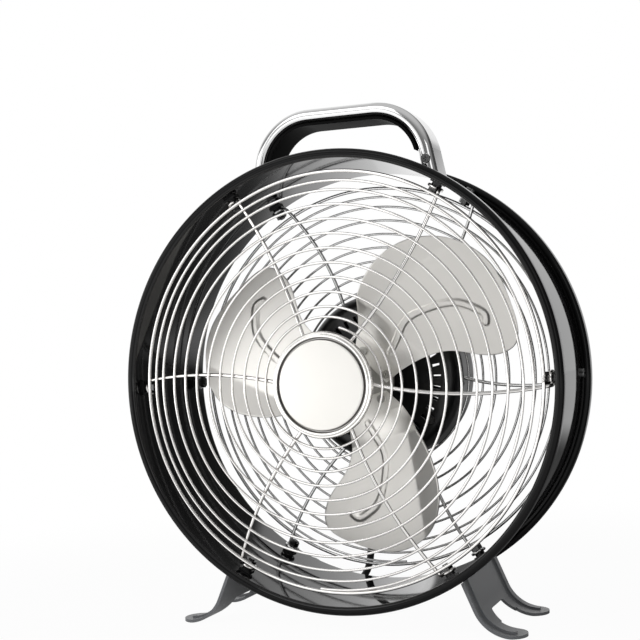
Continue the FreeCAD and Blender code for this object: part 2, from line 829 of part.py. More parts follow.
def speed_switch():
    """A rotary switch behind the rear cover, with its threaded sleeve through it."""
    width, depth, height = switch_size
    back = casing_back - casing_wall
    case = Part.makeBox(width, depth, height, V(-width / 2, back - depth, -knob_drop - height / 2))
    sleeve = Part.makeCylinder(spindle_radius + sleeve_wall, casing_wall + switch_nut_height,
                               V(0, back, -knob_drop), axis_y)
    bore = Part.makeCylinder(spindle_radius + running_gap, 20, V(0, back - spindle_seat, -knob_drop), axis_y)
    return case.fuse(sleeve).cut(bore)


def switch_nut():
    nut = hexagon(switch_nut_flats, switch_nut_height, V(0, casing_back, -knob_drop), axis_y)
    hole = Part.makeCylinder(spindle_radius + sleeve_wall, switch_nut_height + 2,
                             V(0, casing_back - 1, -knob_drop), axis_y)
    return nut.cut(hole)


def spindle_end():
    """How deep the spindle reaches into the knob."""
    return knob_length - 2.5


def switch_spindle():
    start = casing_back - casing_wall - spindle_seat + knob_gap
    end = knob_start + spindle_end()
    return Part.makeCylinder(spindle_radius, end - start, V(0, start, -knob_drop), axis_y)


def speed_knob():
    """A round flange with a waist and a finger bar across it."""
    centre = V(0, knob_start, -knob_drop)
    whole = Part.makeCylinder(knob_radius, knob_length, centre, axis_y)
    flange = Part.makeCylinder(knob_radius, knob_flange, centre, axis_y)
    waist = Part.makeCylinder(knob_waist_radius, knob_length - 5.0, centre, axis_y)
    bar = Part.makeBox(knob_bar, knob_length, 2 * knob_radius - 2.0,
                       centre - V(knob_bar / 2, 0, knob_radius - 1.0))
    knob = flange.fuse([waist, bar.common(whole)]).removeSplitter()
    return knob.cut(Part.makeCylinder(spindle_radius, spindle_end(), centre, axis_y))


# ---- handle ----

def handle_centre(level):
    """The bail's half width at a level on its legs."""
    drop = handle_top - handle_thickness / 2 - level
    return handle_half_width + drop * math.tan(math.radians(handle_lean))


def handle_path():
    """The middle line of the bail, from the left foot over the top to the right foot."""
    top = handle_top - handle_thickness / 2
    foot = handle_centre(handle_foot_level)
    return [V(-foot, 0, handle_foot_level), V(-handle_half_width, 0, top),
            V(handle_half_width, 0, top), V(foot, 0, handle_foot_level)]


def swept_section(depth, thickness, path, radii):
    """A flat oval of this depth along Y, swept along a path in X and Z."""
    start = path[0]
    way = (path[1] - path[0]).normalize()
    side = V(-way.z, 0, way.x)
    half_y = depth / 2
    half_t = thickness / 2
    corners = [start + side * t + axis_y * (handle_mid_y + y)
               for y, t in ((-half_y, -half_t), (half_y, -half_t), (half_y, half_t), (-half_y, half_t))]
    section = rounded_path(corners, [half_t - 0.02] * 4, closed=True)
    return rounded_path(path, radii).makePipeShell([section], True, False)


def handle():
    path = handle_path()
    radii = [0.0, handle_bend, handle_bend, 0.0]
    outer = swept_section(handle_depth, handle_thickness, path, radii)
    hollow = swept_section(handle_depth - 2 * handle_wall, handle_thickness - 2 * handle_wall, path, radii)
    tube = outer.cut(hollow)
    tube = tube.cut(disc(wall_outer + touch, -drum_depth, 2 * drum_depth))
    front = handle_mid_y - handle_depth / 2
    holes = []
    for side in (-1, 1):
        x = side * handle_centre(handle_screw_level)
        holes.append(Part.makeCylinder(m3, 12, V(x, front - 2, handle_screw_level), axis_y))
        outside = V(x, front - 5, handle_screw_level)
        holes.append(Part.makeCylinder(m3_head + 0.3, 5 + handle_screw_recess, outside, axis_y))
    return tube.cut(Part.makeCompound(holes))


def handle_grip():
    """A moulded strip along the inside of the bail."""
    path = handle_path()
    inside = -handle_thickness / 2
    face = strip(path, [0.0, handle_bend, handle_bend, 0.0], inside - grip_thickness, inside)
    face.translate(V(0, handle_mid_y - grip_width / 2, 0))
    grip = face.extrude(axis_y * grip_width)
    below = Part.makeBox(300, 200, 300, V(-150, -100, grip_end_level - 300))
    return grip.cut(below)


def handle_brackets():
    """A steel tongue inside each leg, welded to the drum."""
    inner = handle_thickness - 2 * handle_wall - bracket_clearance
    depth = handle_depth - 2 * handle_wall - handle_thickness
    path = handle_path()
    made = []
    for start, ahead in ((path[0], path[1]), (path[3], path[2])):
        way = (ahead - start).normalize()
        side = V(-way.z, 0, way.x)
        corners = [start + side * t + axis_y * (handle_mid_y + y)
                   for y, t in ((-depth / 2, -inner / 2), (depth / 2, -inner / 2),
                                (depth / 2, inner / 2), (-depth / 2, inner / 2))]
        tongue = face_of(corners).extrude(way * bracket_height)
        made.append(tongue.cut(disc(wall_outer, -drum_depth, 2 * drum_depth)))
    holes = []
    for side in (-1, 1):
        mouth = V(side * handle_centre(handle_screw_level), handle_mid_y - depth / 2 - 1, handle_screw_level)
        holes.append(Part.makeCylinder(m3, 10, mouth, axis_y))
    return [tongue.cut(Part.makeCompound(holes)) for tongue in made]


def handle_screws():
    """A cross screw through the front of each leg into its tongue."""
    seat = handle_mid_y - handle_depth / 2 + handle_screw_recess
    screws = []
    for side in (-1, 1):
        centre = V(side * handle_centre(handle_screw_level), seat, handle_screw_level)
        top = centre - axis_y * m3_head_height
        head = Part.makeCylinder(m3_head, m3_head_height, top, axis_y)
        slot = cross_slot(top, V(0, -1, 0), 1.1 * m3_head, m3_head_height / 2)
        screws.append(head.fuse(Part.makeCylinder(m3, 11.0, centre, axis_y)).cut(slot))
    return screws


# ---- feet ----

def right_foot():
    """A pressed plate: a flange under the drum, a sloping leg and two toes with an arch between them."""
    floor = -axis_height
    half = foot_sheet / 2
    seat = wall_outer + touch
    top_angle = math.radians(foot_flange_to)
    top = V(math.cos(top_angle), 0, math.sin(top_angle)) * (seat + half)
    knee_x = top.x + (top.z - floor - half) * math.tan(math.radians(leg_lean))
    knee = V(knee_x, 0, floor + half)
    reach = knee_x + toe_length
    radii = [0.0, foot_bend, 0.0]
    front = foot_mid_y - foot_half_depth
    depth = 2 * foot_half_depth

    def pressed(face, start, length):
        face.translate(V(0, start, 0))
        return face.extrude(axis_y * length)

    plate = pressed(strip([top, knee, V(reach, 0, floor + half)], radii, -half, half), front, depth)
    wedge_angle = math.radians(foot_flange_from)
    wedge = [V(0, front, 0), V(math.cos(wedge_angle), 0, math.sin(wedge_angle)) * 200 + V(0, front, 0),
             V(math.cos(top_angle), 0, math.sin(top_angle)) * 200 + V(0, front, 0)]
    flange = disc(seat + foot_sheet, front, depth, seat).common(face_of(wedge).extrude(axis_y * depth))
    rib_path = [top + (knee - top) * 0.06, knee, V(reach - rib_short, 0, floor + half)]
    ribs = [pressed(strip(rib_path, radii, half - rib_sink, half + rib_height), start, rib_width)
            for start in (front + rib_inset, front + depth - rib_inset - rib_width)]
    body = plate.cut(disc(seat, front - 1, depth + 2)).fuse([flange] + ribs)

    # rounded toes, and the arch between them
    toe_start = knee_x + 4.0
    toe_round = toe_width / 2
    under = floor - 5.0
    tongues = []
    for sign in (-1, 1):
        middle = foot_mid_y + sign * (foot_half_depth - toe_round)
        end = V(reach - toe_round, middle, under)
        start = V(toe_start, middle - toe_round, under)
        tongue = Part.makeBox(reach - toe_round - toe_start, toe_width, 60, start)
        tongues.append(tongue.fuse(Part.makeCylinder(toe_round, 60, end, V(0, 0, 1))))
    block = Part.makeBox(60, depth + 20, 22, V(toe_start, front - 10, under))
    inner_toe = foot_half_depth - toe_width
    sides = [(inner_toe, -5.0), (inner_toe, arch_spring), (arch_half_width, arch_height)]
    sides += [(-across, level) for across, level in reversed(sides)]
    arch = [V(toe_start - 60, foot_mid_y + across, floor + level) for across, level in sides]
    rounds = [0.0, arch_round, arch_round, arch_round, arch_round, 0.0]
    opening = face_of(arch, rounds).extrude(V(120, 0, 0))
    body = body.cut(block.cut(Part.makeCompound(tongues))).cut(opening)

    # room for the drum's beads, and holes for the guard's screws
    room = [disc(drum_radius + free_gap, start, drum_depth)
            for start in (touch - bead_start - drum_depth, bead_start - touch)]
    rows = (front_screw_row, rear_screw_row)
    holes = [radial_pin(m4_hole, wall_inner, 10, y, foot_screw_angle) for y in rows]
    return body.cut(Part.makeCompound(room)).cut(Part.makeCompound(holes)).removeSplitter()


def mirrored(shape):
    return shape.mirror(origin, V(1, 0, 0))


# ---- mains lead ----

def relief_wall():
    """The casing's underside where the lead leaves it."""
    return -math.sqrt(motor_radius ** 2 - cord_side ** 2)


def strain_relief():
    """A tapered boot that leaves the underside of the rear cover."""
    top = V(cord_side, cord_mid, relief_wall() + 5.0)
    down = V(0, 0, -1)
    neck = Part.makeCylinder(relief_neck, 12.0, top, down)
    boot = Part.makeCone(relief_root, cord_diameter / 2 + relief_lip, relief_length - 2.5,
                         V(cord_side, cord_mid, relief_wall() - 2.5), down)
    boot = boot.fuse(Part.makeCylinder(relief_root, 4.0, V(cord_side, cord_mid, relief_wall() + 1.5), down))
    boot = boot.cut(disc(motor_radius, casing_seam, casing_back - casing_seam))
    flange = Part.makeCylinder(relief_flange, 2.0, top, down)
    flange = flange.common(disc(motor_radius - casing_wall, casing_seam, casing_rear_depth - casing_wall))
    return neck.fuse([flange, boot]).removeSplitter()


def cord_route():
    """The lead in the fan's own frame: straight out of the boot, down to the floor, then into its coil."""
    lying = cord_diameter / 2
    relief_end = relief_wall() - relief_length + axis_height
    return [V(cord_side, cord_mid + drum_y, relief_end), V(-20.2, 50.0, 52.5), V(-21.0, 49.0, 23.1),
            V(-28.3, 50.8, 10.1), V(-41.0, 54.0, lying), V(-66.5, 60.5, lying), V(-93.0, 63.5, lying),
            V(-115.0, 64.2, lying)]


def tail_route():
    """From the top of the coil to the plug."""
    return [V(-158.2, 99.0, 7.8), V(-160.0, 112.5, 7.0), V(-164.6, 127.0, 6.4), V(-167.8, 141.0, 6.85)]


def cord_tube(points):
    """Straight runs joined by tangent arcs as large as the runs allow."""
    radii = [0.0]
    for before, point, after in zip(points, points[1:], points[2:]):
        shorter = min((point - before).Length, (after - point).Length)
        half = (before - point).getAngle(after - point) / 2
        radii.append(0.45 * shorter * math.tan(half))
    radii.append(0.0)
    print("cord radii", [round(r, 1) for r in radii[1:-1]])
    wire = rounded_path(points, radii)
    tube = wire_along(wire, cord_diameter)
    expected = math.pi * cord_diameter ** 2 / 4 * wire.Length
    print("cord length %.1f, volume ratio %.4f" % (wire.Length, tube.Volume / expected))
    return tube


def cord_coil():
    half = coil_turns_wide * cord_diameter / 2
    height = coil_layers * cord_diameter
    x, y = coil_centre
    centre = V(x, y, 0)
    outline = [V(coil_mid_radius - half, 0, 0), V(coil_mid_radius + half, 0, 0),
               V(coil_mid_radius + half, 0, height), V(coil_mid_radius - half, 0, height)]
    ring = face_of(outline, [2.0] * 4).revolve(origin, V(0, 0, 1), 360)
    ring.translate(centre)
    return ring


def plug_frame():
    route = tail_route()
    way = route[-1] - route[-2]
    heading = V(way.x, way.y, 0).normalize()
    start = V(route[-1].x, route[-1].y, plug_height / 2 + touch)
    return start, heading, V(-heading.y, heading.x, 0)


def plug_body():
    start, heading, side = plug_frame()

    def section(along, width, height):
        centre = start + heading * along
        corners = [centre + side * (width / 2 * i) + V(0, 0, height / 2 * j)
                   for i, j in ((-1, -1), (1, -1), (1, 1), (-1, 1))]
        return rounded_path(corners, [min(width, height) * 0.3] * 4, closed=True)

    wires = [section(0, *plug_neck), section(8, plug_neck[0] + 2, plug_neck[1] + 2),
             section(18, plug_width - 2, plug_height), section(plug_length, plug_width, plug_height)]
    return Part.makeLoft(wires, True, True)


def plug_pins():
    start, heading, side = plug_frame()
    face = start + heading * plug_length
    return [Part.makeCylinder(pin_radius, pin_length, face + side * (pin_spacing / 2 * i), heading)
            for i in (-1, 1)]


# ---- everything in its place ----

def all_placed(shapes):
    return [place(shape) for shape in shapes]


save("drum_shell", place(drum_shell()))
save("front_guard_spiral", place(front_spiral()))
front_spokes = guard_spokes(spoke_cap_end, front_rise, -1, front_screw_row)
save("front_guard_spokes", *all_placed(front_spokes))
save("rear_guard_spiral", place(rear_spiral()))
rear_spokes = guard_spokes(spoke_casing_end, rear_rise, 1, rear_screw_row)
save("rear_guard_spokes", *all_placed(rear_spokes))
save("front_guard_clips", *all_placed(guard_clips(front_screw_row)))
save("rear_guard_clips", *all_placed(guard_clips(rear_screw_row)))
save("guard_screws", *all_placed(guard_screws()))
save("guard_nuts", *all_placed(guard_nuts()))
save("front_cap", place(front_cap()))
save("cap_backplate", place(cap_backplate()))
save("cap_screw", place(cap_screw()))
save("motor_front_shell", place(motor_front_shell()))
save("motor_rear_cover", place(motor_rear_cover()))
save("casing_screws", *all_placed(casing_screw_set()))
save("stator_core", place(stator_core()))
save("stator_windings", *all_placed(stator_windings()))
save("front_bush", place(bush(casing_face + casing_wall - front_bush_length, front_bush_length)))
save("rear_bush", place(bush(casing_back - casing_wall - rear_bush_length, rear_bush_length)))
save("motor_shaft", place(motor_shaft()))
save("rotor_core", place(rotor_core()))
save("thrust_washers", *all_placed(thrust_washers()))
save("impeller_hub", place(hub()))
for number, angle in enumerate(blade_angles(), 1):
    save("blade_%d" % number, place(turned_to(blade(), angle)))
save("blade_screws", *all_placed(blade_screws()))
save("hub_nut", place(hub_nut()))
save("speed_switch", place(speed_switch()))
save("switch_nut", place(switch_nut()))
save("switch_spindle", place(switch_spindle()))
save("speed_knob", place(speed_knob()))
save("handle", place(handle()))
save("handle_grip", place(handle_grip()))
save("handle_brackets", *all_placed(handle_brackets()))
save("handle_screws", *all_placed(handle_screws()))
foot = right_foot()
save("right_foot", place(foot))
save("left_foot", place(mirrored(foot)))
save("strain_relief", place(strain_relief()))
save("mains_cord", cord_tube(cord_route()))
save("cord_coil", cord_coil())
save("cord_tail", cord_tube(tail_route()))
save("plug_body", plug_body())
save("plug_pins", *plug_pins())
print("drum_y %.3f, cap face %.3f, casing seam %.3f" % (drum_y, drum_y - cap_face, casing_seam))
print("impeller plane %.3f, screw rows %.3f %.3f" % (impeller_plane, front_screw_row, rear_screw_row))
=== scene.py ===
import math

import bmesh
import bpy
import numpy as np
from mathutils import Matrix, Vector


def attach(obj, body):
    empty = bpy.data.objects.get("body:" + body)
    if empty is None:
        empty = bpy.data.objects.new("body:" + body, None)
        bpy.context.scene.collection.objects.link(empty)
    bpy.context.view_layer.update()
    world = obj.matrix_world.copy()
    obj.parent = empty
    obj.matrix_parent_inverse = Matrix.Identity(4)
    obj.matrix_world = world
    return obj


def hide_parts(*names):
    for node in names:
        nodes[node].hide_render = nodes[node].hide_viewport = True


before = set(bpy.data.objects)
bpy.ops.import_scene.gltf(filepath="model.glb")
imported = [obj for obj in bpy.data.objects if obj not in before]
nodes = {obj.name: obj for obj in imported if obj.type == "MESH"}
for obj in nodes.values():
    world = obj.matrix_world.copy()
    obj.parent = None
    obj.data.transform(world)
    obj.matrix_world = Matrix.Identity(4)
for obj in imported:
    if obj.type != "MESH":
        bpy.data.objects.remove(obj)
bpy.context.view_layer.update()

mm = 0.001
drumMiddle = Vector((0.0, -18.718, 160.5))  # millimetres, the centre of the drum


# camera

cameraFacts = {
    "place": (0.2935, -0.7976, 0.1907),  # metres
    "azimuth": 20.57,
    "elevation": 1.88,
    "roll": -2.13,
    "lens": 69.0,
    "sensor": 36.0,
    "shift": (-0.0625, 0.0875),
}


def addCamera(facts):
    turn, rise, roll = [math.radians(facts[k]) for k in ("azimuth", "elevation", "roll")]
    back = Vector((math.sin(turn) * math.cos(rise), -math.cos(turn) * math.cos(rise), math.sin(rise)))
    level = (-back).cross(Vector((0, 0, 1))).normalized()
    upright = level.cross(-back)
    right = level * math.cos(roll) + upright * math.sin(roll)
    up = upright * math.cos(roll) - level * math.sin(roll)
    lens = bpy.data.cameras.new("camera")
    lens.lens = facts["lens"]
    lens.sensor_width = facts["sensor"]
    lens.shift_x, lens.shift_y = facts["shift"]
    lens.clip_start = 0.01
    holder = bpy.data.objects.new("camera", lens)
    bpy.context.scene.collection.objects.link(holder)
    holder.matrix_world = Matrix.Translation(facts["place"]) @ Matrix((right, up, back)).transposed().to_4x4()
    bpy.context.scene.camera = holder


addCamera(cameraFacts)
print("camera set")


# small helpers for meshes

def newPiece(name, mesh, body, sharpAngle=38.0):
    # a piece of the fan from its mesh, smooth but for its real corners
    piece = bpy.data.objects.new(name, mesh)
    bpy.context.scene.collection.objects.link(piece)
    mesh.shade_smooth()
    mesh.set_sharp_from_angle(angle=math.radians(sharpAngle))
    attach(piece, body)
    return piece


def turnedMesh(name, profile, steps, middle, along=Vector((0, 1, 0)), bands=None):
    # turns a profile of (radius, distance along the axis) round an axis; millimetres
    side = Vector((1, 0, 0)) if abs(along.x) < 0.9 else Vector((0, 0, 1))
    side = (side - along * side.dot(along)).normalized()
    other = along.cross(side)
    shape = bmesh.new()
    rings = []
    for radius, distance in profile:
        if radius < 1e-6:
            rings.append([shape.verts.new((middle + along * distance) * mm)])
            continue
        ring = []
        for i in range(steps):
            angle = 2 * math.pi * i / steps
            point = middle + along * distance + (side * math.cos(angle) + other * math.sin(angle)) * radius
            ring.append(shape.verts.new(point * mm))
        rings.append(ring)
    for row, (first, second) in enumerate(zip(rings, rings[1:])):
        for i in range(steps):
            j = (i + 1) % steps
            corners = [first[i % len(first)], first[j % len(first)]]
            corners += [second[j % len(second)], second[i % len(second)]]
            corners = list(dict.fromkeys(corners))  # a point on the axis gives triangles
            if len(corners) > 2:
                face = shape.faces.new(corners)
                face.material_index = bands[row] if bands else 0
    bmesh.ops.recalc_face_normals(shape, faces=shape.faces)
    mesh = bpy.data.meshes.new(name)
    shape.to_mesh(mesh)
    shape.free()
    return mesh


def roundedProfile(corners, radii, arcSteps=6):
    # replaces each corner of a profile by an arc of its radius
    profile = []
    for i, corner in enumerate(corners):
        if radii[i] <= 0:
            profile.append(corner)
            continue
        here, before, after = Vector(corner), Vector(corners[i - 1]), Vector(corners[i + 1])
        toBefore, toAfter = (before - here).normalized(), (after - here).normalized()
        half = toBefore.angle(toAfter) / 2
        reach = radii[i] / math.tan(half)
        start, end = here + toBefore * reach, here + toAfter * reach
        centre = here + (toBefore + toAfter).normalized() * (radii[i] / math.sin(half))
        for k in range(arcSteps + 1):
            chord = start.lerp(end, k / arcSteps) - centre
            profile.append(tuple(centre + chord.normalized() * radii[i]))
    return profile


def smoothLine(points, count, fineCount=2000):
    # an even row of points on a cubic curve through the given ones
    data = np.array(points, float)
    gaps = np.linalg.norm(np.diff(data, axis=0), axis=1)
    knots = np.concatenate([[0.0], np.cumsum(gaps)])
    size = len(data)
    system = np.zeros((size, size))
    target = np.zeros_like(data)
    system[0, 0] = system[-1, -1] = 1.0
    for i in range(1, size - 1):
        system[i, i - 1] = gaps[i - 1]
        system[i, i] = 2 * (gaps[i - 1] + gaps[i])
        system[i, i + 1] = gaps[i]
        target[i] = 6 * ((data[i + 1] - data[i]) / gaps[i] - (data[i] - data[i - 1]) / gaps[i - 1])
    bends = np.linalg.solve(system, target)
    fine = np.linspace(0.0, knots[-1], fineCount)
    spans = np.clip(np.searchsorted(knots, fine, side="right") - 1, 0, size - 2)
    width = gaps[spans][:, None]
    left = (fine - knots[spans])[:, None]
    right = width - left
    line = (bends[spans] * right ** 3 + bends[spans + 1] * left ** 3) / (6 * width)
    line += (data[spans] / width - bends[spans] * width / 6) * right
    line += (data[spans + 1] / width - bends[spans + 1] * width / 6) * left
    travelled = np.concatenate([[0.0], np.cumsum(np.linalg.norm(np.diff(line, axis=0), axis=1))])
    wanted = np.linspace(0.0, travelled[-1], count)
    return np.stack([np.interp(wanted, travelled, line[:, k]) for k in range(line.shape[1])], axis=1)


def tubeMesh(name, line, radius, around=12):
    # a round wire along a row of points, both in millimetres
    data = np.array(line, float)
    along = np.gradient(data, axis=0)
    along /= np.linalg.norm(along, axis=1)[:, None]
    side = np.cross(along[0], (0.0, 1.0, 0.0))
    if np.linalg.norm(side) < 0.3:
        side = np.cross(along[0], (1.0, 0.0, 0.0))
    sides = []
    for way in along:
        side = side - way * (side @ way)
        side /= np.linalg.norm(side)
        sides.append(side)
    sides = np.array(sides)
    others = np.cross(along, sides)
    angles = 2 * math.pi * np.arange(around) / around
    rings = data[:, None] + radius * (sides[:, None] * np.cos(angles)[None, :, None]
                                      + others[:, None] * np.sin(angles)[None, :, None])
    count = len(data)
    index = np.arange(count * around).reshape(count, around)
    following = np.roll(index, -1, axis=1)
    quads = np.stack([index[:-1], following[:-1], following[1:], index[1:]], axis=2).reshape(-1, 4)
    faces = quads.tolist() + [index[0][::-1].tolist(), index[-1].tolist()]
    mesh = bpy.data.meshes.new(name)
    mesh.from_pydata((rings.reshape(-1, 3) * mm).tolist(), [], faces)
    mesh.update()
    return mesh


def joinedMesh(name, meshes):
    # one mesh in place of several, which are removed
    whole = bmesh.new()
    for mesh in meshes:
        whole.from_mesh(mesh)
        bpy.data.meshes.remove(mesh)
    bmesh.ops.recalc_face_normals(whole, faces=whole.faces)
    mesh = bpy.data.meshes.new(name)
    whole.to_mesh(mesh)
    whole.free()
    return mesh


# mains lead

cordFacts = {
    "diameter": 5.2,
    "length": 1.42,  # metres, from the boot to the plug
    "fall": [(-21.0, 49.463, 80.295), (-20.2, 50.6, 52.5), (-21.0, 49.6, 23.1), (-28.3, 51.2, 10.1),
             (-41.0, 54.2, 2.6), (-66.5, 60.5, 2.6), (-93.0, 63.5, 2.6), (-115.0, 64.2, 2.6)],
    "coilMiddle": (-123.0, 99.0),
    "turnRadii": (35.2, 30.0, 24.8, 24.8, 30.0, 35.2, 35.2),
    "pointsPerTurn": 12,
    "turns": 6.25,
    "lowTurns": 3,
    "lowLayer": 2.6,
    "highLayer": 7.8,
    "shiftFrom": (9, 5),  # points into a turn where it leads to the next radius: low turns, high turns
    "shiftPoints": 2,
    "climbFrom": 7,
    "climbPoints": 4,
    "climbTuck": {9: 0.4, 10: 0.8, 11: 0.4},  # millimetres inwards at each point of the climb
    "tail": [(-160.0, 112.5, 7.0), (-164.6, 127.0, 6.4), (-167.8, 141.0, 6.85)],
}


def coilPoints(facts):
    # three flat turns inwards, a climb, and three and a quarter turns outwards on top of them
    across, along = facts["coilMiddle"]
    perTurn = facts["pointsPerTurn"]
    radii = facts["turnRadii"]
    low, high = facts["lowLayer"], facts["highLayer"]
    rounder = 4 / (3 + math.cos(2 * math.pi / perTurn))  # the curve runs inside its points
    points = []
    for i in range(int(facts["turns"] * perTurn) + 1):
        turn, step = divmod(i, perTurn)
        angle = -math.pi / 2 - 2 * math.pi * i / perTurn
        isHigh = turn >= facts["lowTurns"]
        share = min(1.0, max(0.0, (step - facts["shiftFrom"][isHigh]) / facts["shiftPoints"]))
        following = radii[min(turn + 1, len(radii) - 1)]
        radius = radii[turn] + (following - radii[turn]) * share
        height = high if isHigh else low
        if turn == facts["lowTurns"] - 1:
            climb = min(1.0, max(0.0, (step - facts["climbFrom"]) / facts["climbPoints"]))
            height = low + (high - low) * climb
            radius -= facts["climbTuck"].get(step, 0.0)
        radius *= rounder
        points.append((across + radius * math.cos(angle), along + radius * math.sin(angle), height))
    return points


def addCord(facts):
    route = facts["fall"] + coilPoints(facts) + facts["tail"]
    curve = bpy.data.curves.new("mainsLead", "CURVE")
    curve.dimensions = "3D"
    curve.bevel_depth = 1.0  # the points' own radii give the thickness
    curve.bevel_resolution = 5
    curve.resolution_u = 5
    spline = curve.splines.new("NURBS")
    spline.points.add(len(route) - 1)
    for point, place in zip(spline.points, route):
        point.co = (*[c * mm for c in place], 1.0)
        point.radius = facts["diameter"] / 2 * mm
    spline.order_u = 3
    spline.use_endpoint_u = True
    piece = bpy.data.objects.new("mainsLead", curve)
    bpy.context.scene.collection.objects.link(piece)
    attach(piece, "root")
    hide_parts("mains_cord", "cord_coil", "cord_tail")
    return piece


plugFacts = {
    "from": (-164.6, 127.0),
    "neck": (-167.8, 141.0),
    "height": 6.85,  # of its middle above the floor
    "sections": [(0.0, 9.6, 7.6), (0.8, 10.0, 8.0), (5.0, 10.6, 8.6), (8.0, 12.0, 10.0),
                 (11.0, 15.6, 11.6), (14.5, 21.0, 12.9), (18.0, 24.0, 13.6), (33.8, 26.0, 13.6),
                 (34.7, 25.4, 13.0), (35.0, 24.6, 12.2)],  # place along the plug, width, height
    "gripStart": 19.5,
    "gripPitch": 2.6,
    "gripGrooves": 5,
    "gripDepth": 0.55,
    "gripShape": [(0.0, 0.0), (0.45, 1.0), (1.15, 1.0), (1.6, 0.0)],  # place in a groove, share of its depth
    "gripSpan": 0.36,  # share of the width that the grooves reach, on each side of the middle
    "broadFrom": 0.6,  # sine from which a point counts as on the broad faces
    "squareness": 4.0,
    "around": 56,
}


def addPlug(facts):
    # a flat moulded plug with finger grooves, drawn out along the end of the lead
    heading = (Vector(facts["neck"]) - Vector(facts["from"])).normalized().to_3d()
    side = Vector((-heading.y, heading.x, 0))
    start = Vector((*facts["neck"], facts["height"]))
    places, widths, heights = zip(*facts["sections"])
    grooves = {}
    for i in range(facts["gripGrooves"]):
        base = facts["gripStart"] + i * facts["gripPitch"]
        grooves.update({base + along: share for along, share in facts["gripShape"]})
    shape = bmesh.new()
    rings = []
    around = facts["around"]
    power = 2 / facts["squareness"]
    for along in sorted({*places, *grooves}):
        width = float(np.interp(along, places, widths))
        height = float(np.interp(along, places, heights))
        sunk = grooves.get(along, 0.0) * facts["gripDepth"]
        ring = []
        for i in range(around):
            angle = 2 * math.pi * i / around
            c, s = math.cos(angle), math.sin(angle)
            x = math.copysign(abs(c) ** power, c) * width / 2
            z = math.copysign(abs(s) ** power, s) * height / 2
            if abs(s) > facts["broadFrom"] and abs(x) < width * facts["gripSpan"]:
                z -= math.copysign(sunk, z)
            ring.append(shape.verts.new((start + heading * along + side * x + Vector((0, 0, z))) * mm))
        rings.append(ring)
    for first, second in zip(rings, rings[1:]):
        for i in range(around):
            j = (i + 1) % around
            shape.faces.new((first[i], first[j], second[j], second[i]))
    shape.faces.new(rings[0][::-1])
    shape.faces.new(rings[-1])
    bmesh.ops.recalc_face_normals(shape, faces=shape.faces)
    mesh = bpy.data.meshes.new("plugMoulding")
    shape.to_mesh(mesh)
    shape.free()
    piece = newPiece("plugMoulding", mesh, "root", sharpAngle=30.0)
    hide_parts("plug_body")
    return piece


bootFacts = {
    "side": -21.0,
    "back": 49.463,
    "tip": 80.295,
    "root": 105.2,
    "radii": (5.6, 3.4),
    "bore": 2.4,
    "collar": 5.0,
    "tipBevel": 0.4,
    "grooves": 5,
    "groovesFrom": 2.5,  # above the tip
    "groovesTo": 16.5,
    "grooveDepth": 0.55,
    "grooveShape": [(0.0, 0.0), (0.18, 0.7), (0.3, 1.0), (0.45, 1.0), (0.57, 0.7), (0.75, 0.0)],
    "steps": 48,
}


def addBoot(facts):
    # the tapered boot where the lead leaves the motor casing, with grooves that let it bend
    low, high = facts["tip"], facts["root"]
    wide, narrow = facts["radii"]
    bevel, bore, collar = facts["tipBevel"], facts["bore"], high - facts["collar"]
    pitch = (facts["groovesTo"] - facts["groovesFrom"]) / facts["grooves"]

    def taper(level):
        return narrow + (wide - narrow) * min(1.0, (level - low) / (collar - low))

    profile = [(bore, low), (taper(low) - bevel, low), (taper(low), low + bevel)]
    for i in range(facts["grooves"]):
        for along, deep in facts["grooveShape"]:
            level = low + facts["groovesFrom"] + (i + along) * pitch
            profile.append((taper(level) - deep * facts["grooveDepth"], level))
    profile += [(wide, collar), (wide, high), (bore, high)]
    middle = Vector((facts["side"], facts["back"], 0))
    mesh = turnedMesh("leadBoot", profile, facts["steps"], middle, Vector((0, 0, 1)))
    piece = newPiece("leadBoot", mesh, "root")
    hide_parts("strain_relief")
    return piece


mainsLead = addCord(cordFacts)
plugMoulding = addPlug(plugFacts)
leadBoot = addBoot(bootFacts)
print("lead, plug and boot made")


# shared surface effects, as node groups

def newGroup(name, inputs, outputs):
    tree = bpy.data.node_groups.new(name, "ShaderNodeTree")
    for label, kind, value in inputs:
        socket = tree.interface.new_socket(label, in_out="INPUT", socket_type=kind)
        socket.default_value = value
    for label, kind in outputs:
        tree.interface.new_socket(label, in_out="OUTPUT", socket_type=kind)
    return tree, tree.nodes.new("NodeGroupInput"), tree.nodes.new("NodeGroupOutput")


def addNode(tree, kind, values=None, **settings):
    node = tree.nodes.new(kind)
    for key, value in settings.items():
        setattr(node, key, value)
    for key, value in (values or {}).items():
        if isinstance(value, bpy.types.NodeSocket):
            tree.links.new(value, node.inputs[key])
        else:
            node.inputs[key].default_value = value
    return node


def mathNode(tree, operation, first, second=0.0, clamp=False):
    node = addNode(tree, "ShaderNodeMath", {0: first, 1: second}, operation=operation, use_clamp=clamp)
    return node.outputs[0]


def mixColours(tree, share, first, second):
    node = addNode(tree, "ShaderNodeMix", data_type="RGBA")
    for socket, value in ((node.inputs[0], share), (node.inputs[6], first), (node.inputs[7], second)):
        if isinstance(value, bpy.types.NodeSocket):
            tree.links.new(value, socket)
        else:
            socket.default_value = value
    return node.outputs[2]


def cloudNode(tree, values):
    # cloudy noise that is fixed to the piece
    place = addNode(tree, "ShaderNodeTexCoord").outputs["Object"]
    return addNode(tree, "ShaderNodeTexNoise", {"Vector": place, **values}).outputs[0]


